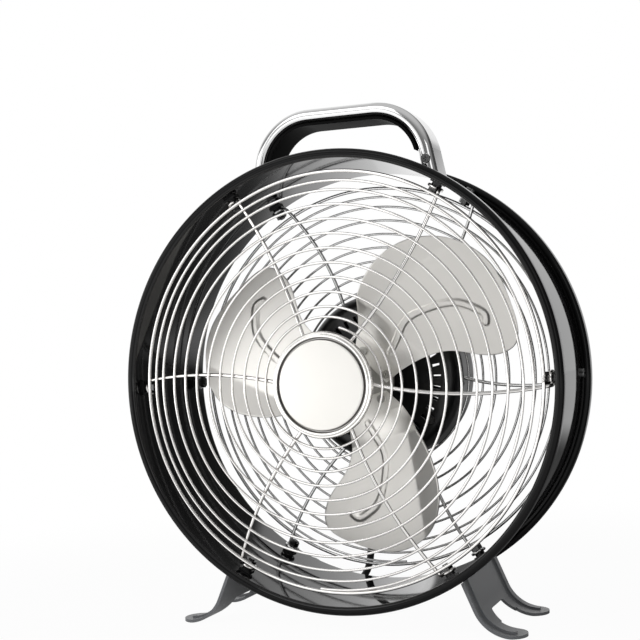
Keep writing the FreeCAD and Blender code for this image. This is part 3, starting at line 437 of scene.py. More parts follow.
def buildToneGroup():
    # slow drift between a finish's own colour and a second tone of it
    tree, given, out = newGroup("surfaceTone", [
        ("Colour", "NodeSocketColor", (0.5, 0.5, 0.5, 1)),
        ("Second Tone", "NodeSocketColor", (0.4, 0.4, 0.4, 1)),
        ("Scale", "NodeSocketFloat", 30.0),
        ("Amount", "NodeSocketFloat", 0.5)], [("Colour", "NodeSocketColor")])
    cloud = cloudNode(tree, {"Scale": given.outputs["Scale"], "Detail": 4.0})
    share = mathNode(tree, "MULTIPLY", cloud, given.outputs["Amount"], True)
    colour = mixColours(tree, share, given.outputs["Colour"], given.outputs["Second Tone"])
    tree.links.new(colour, out.inputs[0])
    return tree


def buildHandlingGroup():
    # the uneven gloss that hands and cleaning leave
    tree, given, out = newGroup("handlingMarks", [
        ("Roughness", "NodeSocketFloat", 0.3),
        ("Spread", "NodeSocketFloat", 0.1),
        ("Scale", "NodeSocketFloat", 25.0)], [("Roughness", "NodeSocketFloat")])
    cloud = cloudNode(tree, {"Scale": given.outputs["Scale"], "Detail": 5.0, "Distortion": 0.6})
    lean = mathNode(tree, "SUBTRACT", cloud, 0.5)
    swing = mathNode(tree, "MULTIPLY", lean, given.outputs["Spread"])
    tree.links.new(mathNode(tree, "ADD", given.outputs["Roughness"], swing, True), out.inputs[0])
    return tree


def buildGrainGroup():
    # fine relief: round grains, or brushed streaks where one direction is stretched
    tree, given, out = newGroup("fineGrain", [
        ("Scale", "NodeSocketFloat", 800.0),
        ("Stretch", "NodeSocketVector", (1, 1, 1)),
        ("Height", "NodeSocketFloat", 0.00002),
        ("Strength", "NodeSocketFloat", 0.5)], [("Normal", "NodeSocketVector")])
    place = addNode(tree, "ShaderNodeTexCoord").outputs["Object"]
    scaled = addNode(tree, "ShaderNodeVectorMath", {0: place, 1: given.outputs["Stretch"]},
                     operation="MULTIPLY").outputs[0]
    grain = addNode(tree, "ShaderNodeTexNoise", {
        "Vector": scaled, "Scale": given.outputs["Scale"], "Detail": 3.0, "Roughness": 0.6}).outputs[0]
    relief = addNode(tree, "ShaderNodeBump", {
        "Strength": given.outputs["Strength"], "Distance": given.outputs["Height"], "Height": grain})
    tree.links.new(relief.outputs[0], out.inputs[0])
    return tree


def buildEdgeHighlightGroup():
    # painted highlight: bright lines along the edges, broken into patches
    tree, given, out = newGroup("paintedEdgeHighlight", [
        ("Radius", "NodeSocketFloat", 0.0006),
        ("Amount", "NodeSocketFloat", 0.5),
        ("Sharpness", "NodeSocketFloat", 5.0),
        ("Patch Scale", "NodeSocketFloat", 180.0)], [("Mask", "NodeSocketFloat")])
    eased = addNode(tree, "ShaderNodeBevel", {"Radius": given.outputs["Radius"]}, samples=4)
    plain = addNode(tree, "ShaderNodeNewGeometry")
    turn = addNode(tree, "ShaderNodeVectorMath", {0: eased.outputs[0], 1: plain.outputs["Normal"]},
                   operation="DOT_PRODUCT")
    bend = mathNode(tree, "SUBTRACT", 1.0, turn.outputs["Value"], True)
    sharp = mathNode(tree, "MULTIPLY", bend, given.outputs["Sharpness"], True)
    broken = cloudNode(tree, {"Scale": given.outputs["Patch Scale"], "Detail": 3.0})
    patchy = mathNode(tree, "MULTIPLY", sharp, broken, True)
    tree.links.new(mathNode(tree, "MULTIPLY", patchy, given.outputs["Amount"], True), out.inputs[0])
    return tree


def buildDustGroup():
    # a thin film of dust on what faces up
    tree, given, out = newGroup("settledDust", [
        ("Amount", "NodeSocketFloat", 0.1),
        ("Scale", "NodeSocketFloat", 60.0)], [("Mask", "NodeSocketFloat")])
    plain = addNode(tree, "ShaderNodeNewGeometry")
    parts = addNode(tree, "ShaderNodeSeparateXYZ", {0: plain.outputs["Normal"]})
    upward = mathNode(tree, "POWER", mathNode(tree, "MAXIMUM", parts.outputs["Z"], 0.0), 2.0)
    cloud = cloudNode(tree, {"Scale": given.outputs["Scale"], "Detail": 8.0})
    share = mathNode(tree, "MULTIPLY", upward, cloud)
    tree.links.new(mathNode(tree, "MULTIPLY", share, given.outputs["Amount"], True), out.inputs[0])
    return tree


surfaceTone = buildToneGroup()
handlingMarks = buildHandlingGroup()
fineGrain = buildGrainGroup()
paintedEdgeHighlight = buildEdgeHighlightGroup()
settledDust = buildDustGroup()


def addGroup(tree, group, values):
    node = tree.nodes.new("ShaderNodeGroup")
    node.node_tree = group
    for key, value in values.items():
        node.inputs[key].default_value = value
    return node


def opaque(colour):
    return (*colour, 1.0)


usualLook = {  # what a finish has where its own dictionary doesn't say
    "toneScale": 30.0,
    "toneAmount": 0.8,
    "spread": 0.08,
    "spreadScale": 25.0,
    "grainScale": 900.0,
    "stretch": (1, 1, 1),
    "grainHeight": 0.00001,
    "grainStrength": 0.4,
    "metal": 0.0,
    "specular": 0.5,
    "edgeHighlight": 0.0,
    "edgeHighlightRadius": 0.0006,
    "dust": 0.0,
    "dustColour": (0.5, 0.48, 0.45),
}


def newFinish(name, look):
    # one finish: its own shader, fed by the shared effects with this finish's values
    facts = {**usualLook, **look}
    material = bpy.data.materials.new(name)
    material.use_nodes = True
    tree = material.node_tree
    shader = tree.nodes["Principled BSDF"]
    colour = addGroup(tree, surfaceTone, {
        "Colour": opaque(facts["colour"]), "Second Tone": opaque(facts["tone"]),
        "Scale": facts["toneScale"], "Amount": facts["toneAmount"]}).outputs[0]
    marks = addGroup(tree, handlingMarks, {
        "Roughness": facts["rough"], "Spread": facts["spread"], "Scale": facts["spreadScale"]})
    grain = addGroup(tree, fineGrain, {
        "Scale": facts["grainScale"], "Stretch": facts["stretch"],
        "Height": facts["grainHeight"], "Strength": facts["grainStrength"]})
    # painted highlight: a lighter colour along the edges of the finishes that ask for it
    if facts["edgeHighlight"]:
        highlighted = addGroup(tree, paintedEdgeHighlight, {"Radius": facts["edgeHighlightRadius"], "Amount": facts["edgeHighlight"]})
        colour = mixColours(tree, highlighted.outputs[0], colour, opaque(facts["edgeHighlightColour"]))
    if facts["dust"]:
        film = addGroup(tree, settledDust, {"Amount": facts["dust"]})
        colour = mixColours(tree, film.outputs[0], colour, opaque(facts["dustColour"]))
    tree.links.new(colour, shader.inputs["Base Color"])
    tree.links.new(marks.outputs[0], shader.inputs["Roughness"])
    tree.links.new(grain.outputs[0], shader.inputs["Normal"])
    shader.inputs["Metallic"].default_value = facts["metal"]
    shader.inputs["Specular IOR Level"].default_value = facts["specular"]
    return material


def dress(material, *names):
    # gives CAD nodes a finish in place of their plain one
    for name in names:
        mesh = nodes[name].data
        mesh.materials.clear()
        mesh.materials.append(material)


# drum: rolled sheet with a bead curled at each end

drumFacts = {
    "inner": 144.2,
    "outer": 150.0,
    "sheet": 0.8,
    "end": 51.3,
    "beadStart": 40.3,  # from the drum's middle, like the end
    "round": 2.89,
    "roundEase": 0.05,  # keeps neighbouring rounds from meeting
    "lipRound": 1.2,
    "slit": 0.8,
    "slitDepth": 2.6,
    "beadLip": 1.2,  # the dimmed copy of the enamel, painted shade on the bead, starts this far out from the drum's inside
    "arcSteps": 8,
    "steps": 360,
}
drumLook = {"colour": (0.006, 0.006, 0.0065), "tone": (0.009, 0.009, 0.009), "rough": 0.05, "spread": 0.03,
            "grainScale": 120.0, "grainHeight": 0.00002, "grainStrength": 0.03, "specular": 0.34}
# painted shade: the drum's own enamel with its reflection turned down, so the beads read darker
dimmedBeadLook = dict(drumLook, specular=0.14, rough=0.12)


def addDrum(facts, finish, dimmedBeadFinish):
    inner, outer, sheet = facts["inner"], facts["outer"], facts["sheet"]
    end, start, curve = facts["end"], facts["beadStart"], facts["round"]
    wall = inner + sheet
    lip, deep = wall + facts["slit"], start + facts["slitDepth"]
    half = [(inner, 0.0), (inner, end), (outer, end), (outer, start), (lip, start), (lip, deep),
            (wall, deep), (wall, 0.0)]
    eased = curve - facts["roundEase"]
    rounds = [0.0, curve, eased, eased, facts["lipRound"], 0.0, 0.0, 0.0]
    rear = roundedProfile(half, rounds, facts["arcSteps"])
    front = [(radius, -along) for radius, along in rear]
    profile = rear + front[::-1][1:-1]
    mesh = turnedMesh("drumSheet", profile + [profile[0]], facts["steps"], drumMiddle)
    mesh.materials.append(finish)
    mesh.materials.append(dimmedBeadFinish)
    # the bead's faces get the dimmed enamel, painted shade
    for polygon in mesh.polygons:
        away = math.hypot(polygon.center.x - drumMiddle.x * mm, polygon.center.z - drumMiddle.z * mm)
        polygon.material_index = int(away > (inner + facts["beadLip"]) * mm)
    piece = newPiece("drumSheet", mesh, "root", sharpAngle=50.0)
    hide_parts("drum_shell")


addDrum(drumFacts, newFinish("drumEnamel", drumLook), newFinish("beadEnamelDimmed", dimmedBeadLook))
print("drum made")


# guards: a spiral of wire on bowed spokes, each bent into an eye round its screw

def evenly(first, last, count):
    return [first + (last - first) * i / (count - 1) for i in range(count)]


guardFacts = {  # a sign of -1 faces the room, and rise is how far the dish bulges past its rim
    "front": {"sign": -1, "rise": 14.4, "rim": 136.5, "spokeFrom": 27.0, "screwRow": -36.106,
              "turns": [37.0, 43.0] + evenly(49.6, 124.3, 9) + [130.4], "slot": "guard"},
    "rear": {"sign": 1, "rise": 11.0, "rim": 134.0, "spokeFrom": 54.0, "screwRow": 36.317,
             "turns": [63.2] + evenly(73.6, 121.1, 6) + [127.9], "slot": "rear_guard"},
    "stepOut": 20.0,  # where a turn starts to lead out, in degrees from its side of the fan
    "freeEnd": 75.0,  # degrees, of the front wire's inner end
    "dishRim": 136.5,
    "dishDepth": 43.6,
    "turnWire": 1.7,
    "spokeWire": 2.4,
    "rimWire": 2.3,
    "weld": 0.25,  # how deep two wires sink into each other
    "spokes": 6,
    "bow": 5.6,  # sideways, at the middle of a spoke
    "eyeRadius": 4.3,
    "eyeFrom": 140.2,
    "eyeTurn": 290.0,
    "knuckle": 2.2,  # reach of the bend between bar and eye
    "knuckleRoom": 0.8,  # between the bar's last point and the bend
    "chord": 2.4,  # between the points of a turn
    "fewest": 12,  # points in the shortest stretch of a turn
    "barPoints": 50,
    "bendPoints": 8,
    "eyePoints": 32,
}
chromeLook = {"colour": (0.90, 0.885, 0.87), "tone": (0.84, 0.82, 0.80), "rough": 0.10, "spread": 0.05,
              "grainScale": 300.0, "metal": 1.0, "grainStrength": 0.02}
# painted shade: a darker copy of the front guard's chrome for the rear guard
dimmedRearChromeLook = {"colour": (0.80, 0.80, 0.80), "tone": (0.70, 0.70, 0.70), "rough": 0.18, "spread": 0.06,
                  "metal": 1.0, "grainStrength": 0.02}
clipLook = {"colour": (0.010, 0.010, 0.011), "tone": (0.016, 0.016, 0.016), "rough": 0.28, "edgeHighlight": 0.15,
            "edgeHighlightColour": (0.12, 0.12, 0.12), "grainScale": 700.0}
fastenerLook = {"colour": (0.14, 0.14, 0.14), "tone": (0.08, 0.08, 0.08), "rough": 0.22, "metal": 1.0}


def dishDepth(radius, rise, facts, behind=0.0):
    # how far the domed guard stands from the drum's middle at a radius
    ball = (facts["dishRim"] ** 2 + rise ** 2) / (2 * rise)
    return facts["dishDepth"] + rise - ball + math.sqrt((ball - behind) ** 2 - radius ** 2)


def guardPoint(radius, angle, guard, facts):
    turn = math.radians(angle)
    sign = guard["sign"]
    return np.array((-sign * radius * math.cos(turn), sign * dishDepth(radius, guard["rise"], facts),
                     radius * math.sin(turn)))


def stepOut(inner, outer, guard, facts, first=0.0, last=180.0):
    # the half turn below the axis that leads from one radius to the next
    angle = facts["stepOut"]
    start = guardPoint(inner, angle, guard, facts)
    end = guardPoint(outer, angle + 180.0, guard, facts)
    middle, along = (start + end) / 2, (start - end) / 2
    turn = math.radians(angle - 90.0)
    down = np.array((-guard["sign"] * math.cos(turn), 0.0, math.sin(turn))) * np.linalg.norm(along)
    count = max(facts["fewest"], int(math.radians(last - first) * inner / facts["chord"]))
    turns = np.radians(np.linspace(first, last, count))[:, None]
    return middle + along * np.cos(turns) + down * np.sin(turns)


def overTheTop(radius, guard, facts, first=None):
    # the half turn above the axis, which keeps its radius
    begin = facts["stepOut"] + 180.0 if first is None else first
    count = max(facts["fewest"], int(math.radians(begin - facts["stepOut"]) * radius / facts["chord"]))
    angles = np.linspace(begin, facts["stepOut"], count)
    return np.array([guardPoint(radius, angle, guard, facts) for angle in angles])


def ringLine(radius, guard, facts):
    # a closed ring, whose ends overlap by a step each way
    count = int(2 * math.pi * radius / facts["chord"])
    return np.array([guardPoint(radius, 360.0 * i / count, guard, facts) for i in range(-1, count + 2)])


def stepShare(share):
    # how far round a half turn has gone when it has led out by this share, in degrees
    return math.degrees(math.acos(1 - 2 * share))


def spiralLine(guard, facts):
    # the whole wire, from its free end or its inner ring until it meets the rim
    turns = guard["turns"]
    meets = guard["rim"] - facts["rimWire"] / 2 - facts["turnWire"] / 2 + facts["weld"]
    last = stepShare((meets - turns[-1]) / (guard["rim"] - turns[-1]))
    if guard["sign"] < 0:
        pieces = [overTheTop(turns[0], guard, facts, facts["freeEnd"])]
        pieces.append(stepOut(turns[0], turns[1], guard, facts))
    else:
        leaves = stepShare((facts["turnWire"] - facts["weld"]) / (turns[1] - turns[0]))
        pieces = [stepOut(turns[0], turns[1], guard, facts, leaves)]
    for inner, outer in zip(turns[1:], turns[2:]):
        pieces += [overTheTop(inner, guard, facts), stepOut(inner, outer, guard, facts)]
    pieces.append(overTheTop(turns[-1], guard, facts))
    pieces.append(stepOut(turns[-1], guard["rim"], guard, facts, 0.0, last))
    return np.concatenate([pieces[0]] + [piece[1:] for piece in pieces[1:]])


def spokeLine(guard, facts):
    # one bar and its eye, at the angle of the first spoke
    start, end, sign, row = guard["spokeFrom"], facts["eyeFrom"], guard["sign"], guard["screwRow"]
    eyeRadius, knuckle = facts["eyeRadius"], facts["knuckle"]
    behind = facts["turnWire"] / 2 + facts["spokeWire"] / 2 - facts["weld"]
    bar = []
    for share in np.linspace(0.0, 1.0, facts["barPoints"]):
        radius = start + (end - start) * share
        sideways = eyeRadius * share + 4 * facts["bow"] * share * (1 - share)
        depth = dishDepth(math.hypot(radius, sideways), guard["rise"], facts, behind)
        bar.append((radius, sign * depth, -sideways))
    bar = np.array(bar)
    corner = bar[-1]
    bar = bar[bar[:, 0] < end - knuckle - facts["knuckleRoom"]]
    before = corner + (bar[-1] - corner) / np.linalg.norm(bar[-1] - corner) * knuckle
    after = corner - np.array((0.0, sign * knuckle, 0.0))
    bend = [before * (1 - t) ** 2 + corner * 2 * t * (1 - t) + after * t * t
            for t in np.linspace(0, 1, facts["bendPoints"])]
    eye = [(end, row - sign * eyeRadius * math.sin(angle), -eyeRadius * math.cos(angle))
           for angle in np.radians(np.linspace(0.0, facts["eyeTurn"], facts["eyePoints"]))]
    return np.concatenate([bar, bend, eye])


def turnedLine(line, angle):
    # the same line, turned about the drum's axis
    turn = math.radians(angle)
    x = line[:, 0] * math.cos(turn) - line[:, 2] * math.sin(turn)
    z = line[:, 0] * math.sin(turn) + line[:, 2] * math.cos(turn)
    return np.stack([x, line[:, 1], z], axis=1)


def addGuard(side, facts, finish):
    guard = facts[side]
    middle = np.array(drumMiddle)
    thin, thick, strong = facts["turnWire"] / 2, facts["rimWire"] / 2, facts["spokeWire"] / 2
    wires = [tubeMesh("wire", spiralLine(guard, facts) + middle, thin)]
    wires.append(tubeMesh("wire", ringLine(guard["rim"], guard, facts) + middle, thick))
    if guard["sign"] > 0:
        wires.append(tubeMesh("wire", ringLine(guard["turns"][0], guard, facts) + middle, thin))
    spoke = spokeLine(guard, facts)
    angles = [360 * i / facts["spokes"] for i in range(facts["spokes"])]
    bars = [tubeMesh("wire", turnedLine(spoke, angle) + middle, strong) for angle in angles]
    for kind, meshes in (("spiral", wires), ("spokes", bars)):
        mesh = joinedMesh("%sGuard%s" % (side, kind.capitalize()), meshes)
        mesh.materials.append(finish)
        piece = newPiece(mesh.name, mesh, "root", sharpAngle=50.0)
        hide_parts("%s_guard_%s" % (side, kind))


addGuard("front", guardFacts, newFinish("guardChrome", chromeLook))
addGuard("rear", guardFacts, newFinish("rearGuardPlate", dimmedRearChromeLook))
dress(newFinish("clipEnamel", clipLook), "front_guard_clips", "rear_guard_clips")
dress(newFinish("fastenerPlate", fastenerLook), "guard_screws", "guard_nuts")
print("guards made")


# front cap: a spun aluminium cup with a satin face

capFacts = {
    "face": -86.464,  # world y of its front, mm
    "outline": [(0.0, 0.0), (28.5, 0.0), (28.9, 3.0), (29.9, 3.0), (30.3, 0.2), (31.7, 0.2), (32.2, 1.2),
                (33.3, 1.2), (34.1, 3.0), (30.4, 11.0), (29.2, 11.0), (32.4, 4.3), (30.4, 4.2), (28.0, 4.2),
                (27.6, 1.2), (5.0, 1.2)],
    "rounds": [0.0, 0.9, 0.3, 0.3, 0.5, 0.5, 0.2, 0.4, 0.6, 0.2, 0.2, 0.3, 0.3, 0.3, 0.3, 0.0],
    "arcSteps": 8,
    "steps": 256,
    "faceDepth": 0.3,  # how far down its edge the satin face goes
    "grooveDepth": 0.7,  # from where the groove gets its painted shade
    "grooveTo": 30.3,
}
capFaceLook = {"colour": (0.86, 0.845, 0.81), "tone": (0.80, 0.785, 0.745), "rough": 0.38, "spread": 0.04,
               "metal": 1.0, "grainScale": 1500.0, "grainHeight": 0.00003, "grainStrength": 0.2}
# painted shade: a darker copy of the cap's metal for the groove
capGrooveShadeLook = {"colour": (0.42, 0.41, 0.40), "tone": (0.34, 0.33, 0.32), "rough": 0.30, "metal": 1.0}
capRimLook = {"colour": (0.86, 0.85, 0.83), "tone": (0.80, 0.78, 0.75), "rough": 0.10, "spread": 0.04,
              "metal": 1.0, "grainStrength": 0.04}


def capBand(radius, along, isFront, facts):
    # 0 for the face, 1 for the rim and skirt, 2 for the groove between them, which is painted darker as shade
    if isFront and radius < facts["grooveTo"]:
        if along < facts["faceDepth"]:
            return 0
        if along > facts["grooveDepth"]:
            return 2
    return 1


def addCap(facts):
    profile = roundedProfile(facts["outline"], facts["rounds"], facts["arcSteps"])
    widest = max(range(len(profile)), key=lambda row: profile[row][0])
    bands = [capBand(radius, along, row < widest, facts) for row, (radius, along) in enumerate(profile)]
    middle = Vector((0, facts["face"], drumMiddle.z))
    mesh = turnedMesh("capCup", profile, facts["steps"], middle, bands=bands)
    for name, look in (("capFace", capFaceLook), ("capRim", capRimLook), ("capGroovePaintedShade", capGrooveShadeLook)):
        mesh.materials.append(newFinish(name, look))
    piece = newPiece("capCup", mesh, "root", sharpAngle=50.0)
    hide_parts("front_cap")


addCap(capFacts)
print("cap made")


# blades

bladeFacts = {
    "angles": (45.0, 165.0, 285.0),
    "plane": 2.181,  # of the flat root, in the drum's own frame
    "root": 12.0,
    "rootSides": (-15.0, 16.0),
    "tip": 119.0,
    "edge": [(0.2521, -0.1513), (0.4706, -0.2605), (0.6218, -0.4538), (0.7395, -0.5042), (0.8992, -0.3445),
             (1.0, -0.084), (0.9496, 0.1429), (0.7731, 0.3025), (0.4874, 0.3277)],  # shares of the tip radius
    "netCorners": (4, 6),  # points of the edge where the net of faces has its outer corners
    "edgePoints": 3000,
    "sheet": 1.0,
    "twistStart": 25.0,  # radius where the flat root ends
    "twistRun": 18.0,
    "rootPitch": 0.42,
    "tipPitch": 0.30,
    "hollow": 0.0014,  # per millimetre, across the blade
    "creaseAtAxis": 33.0,
    "creaseSlope": 0.15,
    "creaseTurn": 0.25,
    "creaseSoftness": 0.8,
    "rib": [(30, -3), (43, 1), (50, 3), (59, 2), (68, -2), (78, -8), (85, -15), (89, -24), (90, -33),
            (87, -36)],
    "ribPoints": 160,
    "ribWidth": 4.2,
    "ribSide": 0.9,
    "ribHeight": 1.3,
    "cells": (150, 116),
}
bladeLook = {"colour": (0.93, 0.91, 0.87), "tone": (0.85, 0.83, 0.79), "toneScale": 8.0, "rough": 0.34,
             "spread": 0.04, "spreadScale": 8.0, "metal": 0.8, "grainStrength": 0.0}


def bladeGrid(facts):
    # a four-sided net inside the blade's outline, from its root outwards and from edge to edge
    tip, root = facts["tip"], facts["root"]
    low, high = facts["rootSides"]
    edge = [(a * tip, b * tip) for a, b in facts["edge"]]
    line = smoothLine([(root, low)] + edge + [(root, high)], facts["edgePoints"])
    corners = [int(np.argmin(np.linalg.norm(line - np.array(edge[k]), axis=1))) for k in facts["netCorners"]]
    outwards, across = facts["cells"]

    def resample(piece, count):
        gone = np.concatenate([[0.0], np.cumsum(np.linalg.norm(np.diff(piece, axis=0), axis=1))])
        wanted = np.linspace(0.0, gone[-1], count)
        return np.stack([np.interp(wanted, gone, piece[:, k]) for k in (0, 1)], axis=1)

    lower = resample(line[:corners[0] + 1], outwards + 1)
    outer = resample(line[corners[0]:corners[1] + 1], across + 1)
    upper = resample(line[corners[1]:][::-1], outwards + 1)
    inner = np.linspace(lower[0], upper[0], across + 1)
    s = np.linspace(0.0, 1.0, outwards + 1)[:, None, None]
    t = np.linspace(0.0, 1.0, across + 1)[None, :, None]
    net = (1 - t) * lower[:, None] + t * upper[:, None] + (1 - s) * inner[None] + s * outer[None]
    net -= (1 - s) * (1 - t) * inner[0] + (1 - s) * t * inner[-1]
    net -= s * (1 - t) * outer[0] + s * t * outer[-1]
    return net


def ribDistance(net, facts):
    # each point's distance from the middle line of the pressed rib
    line = smoothLine(facts["rib"], facts["ribPoints"])
    nearest = np.full(net.shape[:2], np.inf)
    for start, end in zip(line, line[1:]):
        way = end - start
        share = np.clip(((net - start) @ way) / (way @ way), 0.0, 1.0)
        nearest = np.minimum(nearest, np.linalg.norm(net - start - share[..., None] * way, axis=2))
    return nearest


def addBlade(number, facts, finish):
    # a pressed sheet: flat at its root, then pitched, hollow, creased along one side and ribbed
    net = bladeGrid(facts)
    u, v = net[..., 0], net[..., 1]
    share = np.clip((u - facts["twistStart"]) / facts["twistRun"], 0.0, 1.0)
    outward = (u - facts["twistStart"]) / (facts["tip"] - facts["twistStart"])
    pitch = facts["rootPitch"] + (facts["tipPitch"] - facts["rootPitch"]) * outward
    past = v - (facts["creaseAtAxis"] - facts["creaseSlope"] * u)
    turned = 0.5 * (past + np.sqrt(past ** 2 + facts["creaseSoftness"] ** 2))
    rise = -share * (pitch * v + facts["hollow"] * v ** 2 + facts["creaseTurn"] * turned)
    inside = (facts["ribWidth"] / 2 + facts["ribSide"] / 2 - ribDistance(net, facts)) / facts["ribSide"]
    inside = np.clip(inside, 0.0, 1.0)
    rise -= facts["ribHeight"] * inside ** 2 * (3 - 2 * inside)
    angle = math.radians(facts["angles"][number])
    x = u * math.cos(angle) - v * math.sin(angle)
    z = u * math.sin(angle) + v * math.cos(angle)
    places = np.stack([x + drumMiddle.x, facts["plane"] + rise + drumMiddle.y, z + drumMiddle.z], axis=2) * mm
    rows, columns = places.shape[:2]
    index = np.arange(rows * columns).reshape(rows, columns)
    quads = np.stack([index[:-1, :-1], index[:-1, 1:], index[1:, 1:], index[1:, :-1]], axis=2).reshape(-1, 4)
    mesh = bpy.data.meshes.new("bladeSheet%d" % (number + 1))
    mesh.from_pydata(places.reshape(-1, 3).tolist(), [], quads.tolist())
    mesh.update()
    if sum(p.normal.y for p in mesh.polygons) > 0:
        mesh.flip_normals()
    mesh.materials.append(finish)
    piece = newPiece(mesh.name, mesh, "impeller", sharpAngle=60.0)
    thick = piece.modifiers.new("sheet", "SOLIDIFY")
    thick.thickness = facts["sheet"] * mm
    thick.offset = -1.0
    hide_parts("blade_%d" % (number + 1))


bladeAluminium = newFinish("bladeAluminium", bladeLook)
for number in range(len(bladeFacts["angles"])):
    addBlade(number, bladeFacts, bladeAluminium)
print("blades made")


# motor, hub and small metal

caseLook = {"colour": (0.008, 0.008, 0.0085), "tone": (0.012, 0.012, 0.012), "rough": 0.30, "spread": 0.06,
            "grainScale": 900.0, "grainHeight": 0.00001, "grainStrength": 0.1, "dust": 0.02, "edgeHighlight": 0.15,
            "edgeHighlightColour": (0.10, 0.10, 0.10)}
darkScrewLook = {"colour": (0.16, 0.16, 0.16), "tone": (0.10, 0.10, 0.10), "rough": 0.30, "metal": 1.0}
zincLook = {"colour": (0.62, 0.61, 0.58), "tone": (0.5, 0.5, 0.49), "rough": 0.28, "metal": 1.0,
            "toneScale": 90.0}
shaftLook = {"colour": (0.6, 0.6, 0.6), "tone": (0.52, 0.52, 0.52), "rough": 0.18, "metal": 1.0,
             "stretch": (1, 6, 1)}
bushLook = {"colour": (0.58, 0.42, 0.22), "tone": (0.42, 0.3, 0.16), "rough": 0.38, "metal": 1.0,
            "toneScale": 300.0}
coreLook = {"colour": (0.34, 0.34, 0.36), "tone": (0.24, 0.24, 0.25), "rough": 0.42, "metal": 1.0,
            "stretch": (0.1, 10, 0.1), "grainScale": 140.0, "grainHeight": 0.00008, "grainStrength": 0.8}
windingLook = {"colour": (0.55, 0.2, 0.07), "tone": (0.4, 0.13, 0.04), "rough": 0.25, "metal": 1.0,
               "stretch": (1, 8, 1), "grainScale": 200.0, "grainHeight": 0.0001, "grainStrength": 0.7}
washerLook = {"colour": (0.75, 0.72, 0.62), "tone": (0.7, 0.66, 0.55), "rough": 0.45}
switchLook = {"colour": (0.06, 0.06, 0.06), "tone": (0.08, 0.075, 0.07), "rough": 0.45}

dress(newFinish("caseEnamel", caseLook), "motor_front_shell", "motor_rear_cover")
dress(newFinish("brightZinc", zincLook), "cap_backplate", "cap_screw", "impeller_hub", "blade_screws",
      "hub_nut", "switch_nut", "handle_brackets")
dress(newFinish("darkScrew", darkScrewLook), "casing_screws", "handle_screws")
dress(newFinish("groundSteel", shaftLook), "motor_shaft", "switch_spindle")
dress(newFinish("bushBronze", bushLook), "front_bush", "rear_bush")
dress(newFinish("laminatedCore", coreLook), "stator_core", "rotor_core")
dress(newFinish("copperWinding", windingLook), "stator_windings")
dress(newFinish("washerNylon", washerLook), "thrust_washers")
dress(newFinish("switchMoulding", switchLook), "speed_switch")
print("motor finished")


# speed knob and its dial

knobLook = {"colour": (0.012, 0.012, 0.013), "tone": (0.018, 0.018, 0.018), "rough": 0.22, "edgeHighlight": 0.15,
            "edgeHighlightColour": (0.08, 0.08, 0.08), "grainScale": 1200.0}
markLook = {"colour": (0.78, 0.78, 0.76), "tone": (0.7, 0.7, 0.68), "rough": 0.5}
dialFacts = {
    "middle": (0.0, 71.463, 124.5),  # on the back of the casing, mm
    "reach": 18.5,  # from the knob's axis to the figures
    "fontSize": 7.02,
    "markLift": 0.05,
    "markThickness": 0.06,
    "stops": [("0", 0.0), ("1", 45.0), ("2", 90.0)],  # what each mark says, and its turn in degrees
    "knobBack": 86.463,
    "pointerEnd": 12.2,  # above the knob's axis
    "pointerLength": 8.0,
    "pointerWidth": 1.3,
    "pointerSunk": 0.25,
    "pointerProud": 0.05,
    "pointerPoints": 24,
}

markInk = newFinish("dialInk", markLook)
dress(newFinish("knobMoulding", knobLook), "speed_knob")


def addDial(facts):
    # the printed figures round the knob, read from behind
    middle = Vector(facts["middle"])
    facing = Matrix(((-1, 0, 0), (0, 0, 1), (0, 1, 0))).to_4x4()
    for label, turn in facts["stops"]:
        text = bpy.data.curves.new("dialMark" + label, "FONT")
        text.body = label
        text.size = facts["fontSize"] * mm
        text.align_x = "CENTER"
        text.align_y = "CENTER"
        text.extrude = facts["markThickness"] * mm
        text.materials.append(markInk)
        angle = math.radians(turn)
        place = middle + Vector((-math.sin(angle), 0.0, math.cos(angle))) * facts["reach"]
        place.y += facts["markLift"]
        mark = bpy.data.objects.new("dialMark" + label, text)
        bpy.context.scene.collection.objects.link(mark)
        mark.matrix_world = Matrix.Translation(place * mm) @ facing
        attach(mark, "root")


def addPointer(facts):
    # an inlaid line on the end of the finger bar
    lengthwise = facts["pointerLength"] / 2
    half = facts["pointerWidth"] / 2
    sunk, count = facts["pointerSunk"], facts["pointerPoints"]
    across, _, axisHeight = facts["middle"]
    middle = Vector((across, facts["knobBack"], axisHeight + facts["pointerEnd"] - lengthwise))
    shape = bmesh.new()
    outline = []
    for i in range(count):
        angle = 2 * math.pi * i / count
        z = math.sin(angle) * half + math.copysign(lengthwise - half, math.sin(angle))
        outline.append(shape.verts.new((middle + Vector((math.cos(angle) * half, -sunk, z))) * mm))
    face = shape.faces.new(outline)
    lifted = bmesh.ops.extrude_face_region(shape, geom=[face])
    raised = [part for part in lifted["geom"] if isinstance(part, bmesh.types.BMVert)]
    bmesh.ops.translate(shape, verts=raised, vec=(0, (sunk + facts["pointerProud"]) * mm, 0))
    bmesh.ops.recalc_face_normals(shape, faces=shape.faces)
    mesh = bpy.data.meshes.new("knobPointer")
    shape.to_mesh(mesh)
    shape.free()
    mesh.materials.append(markInk)
    newPiece("knobPointer", mesh, "knob")


addDial(dialFacts)
addPointer(dialFacts)
print("dial made")


# handle, feet and lead finishes

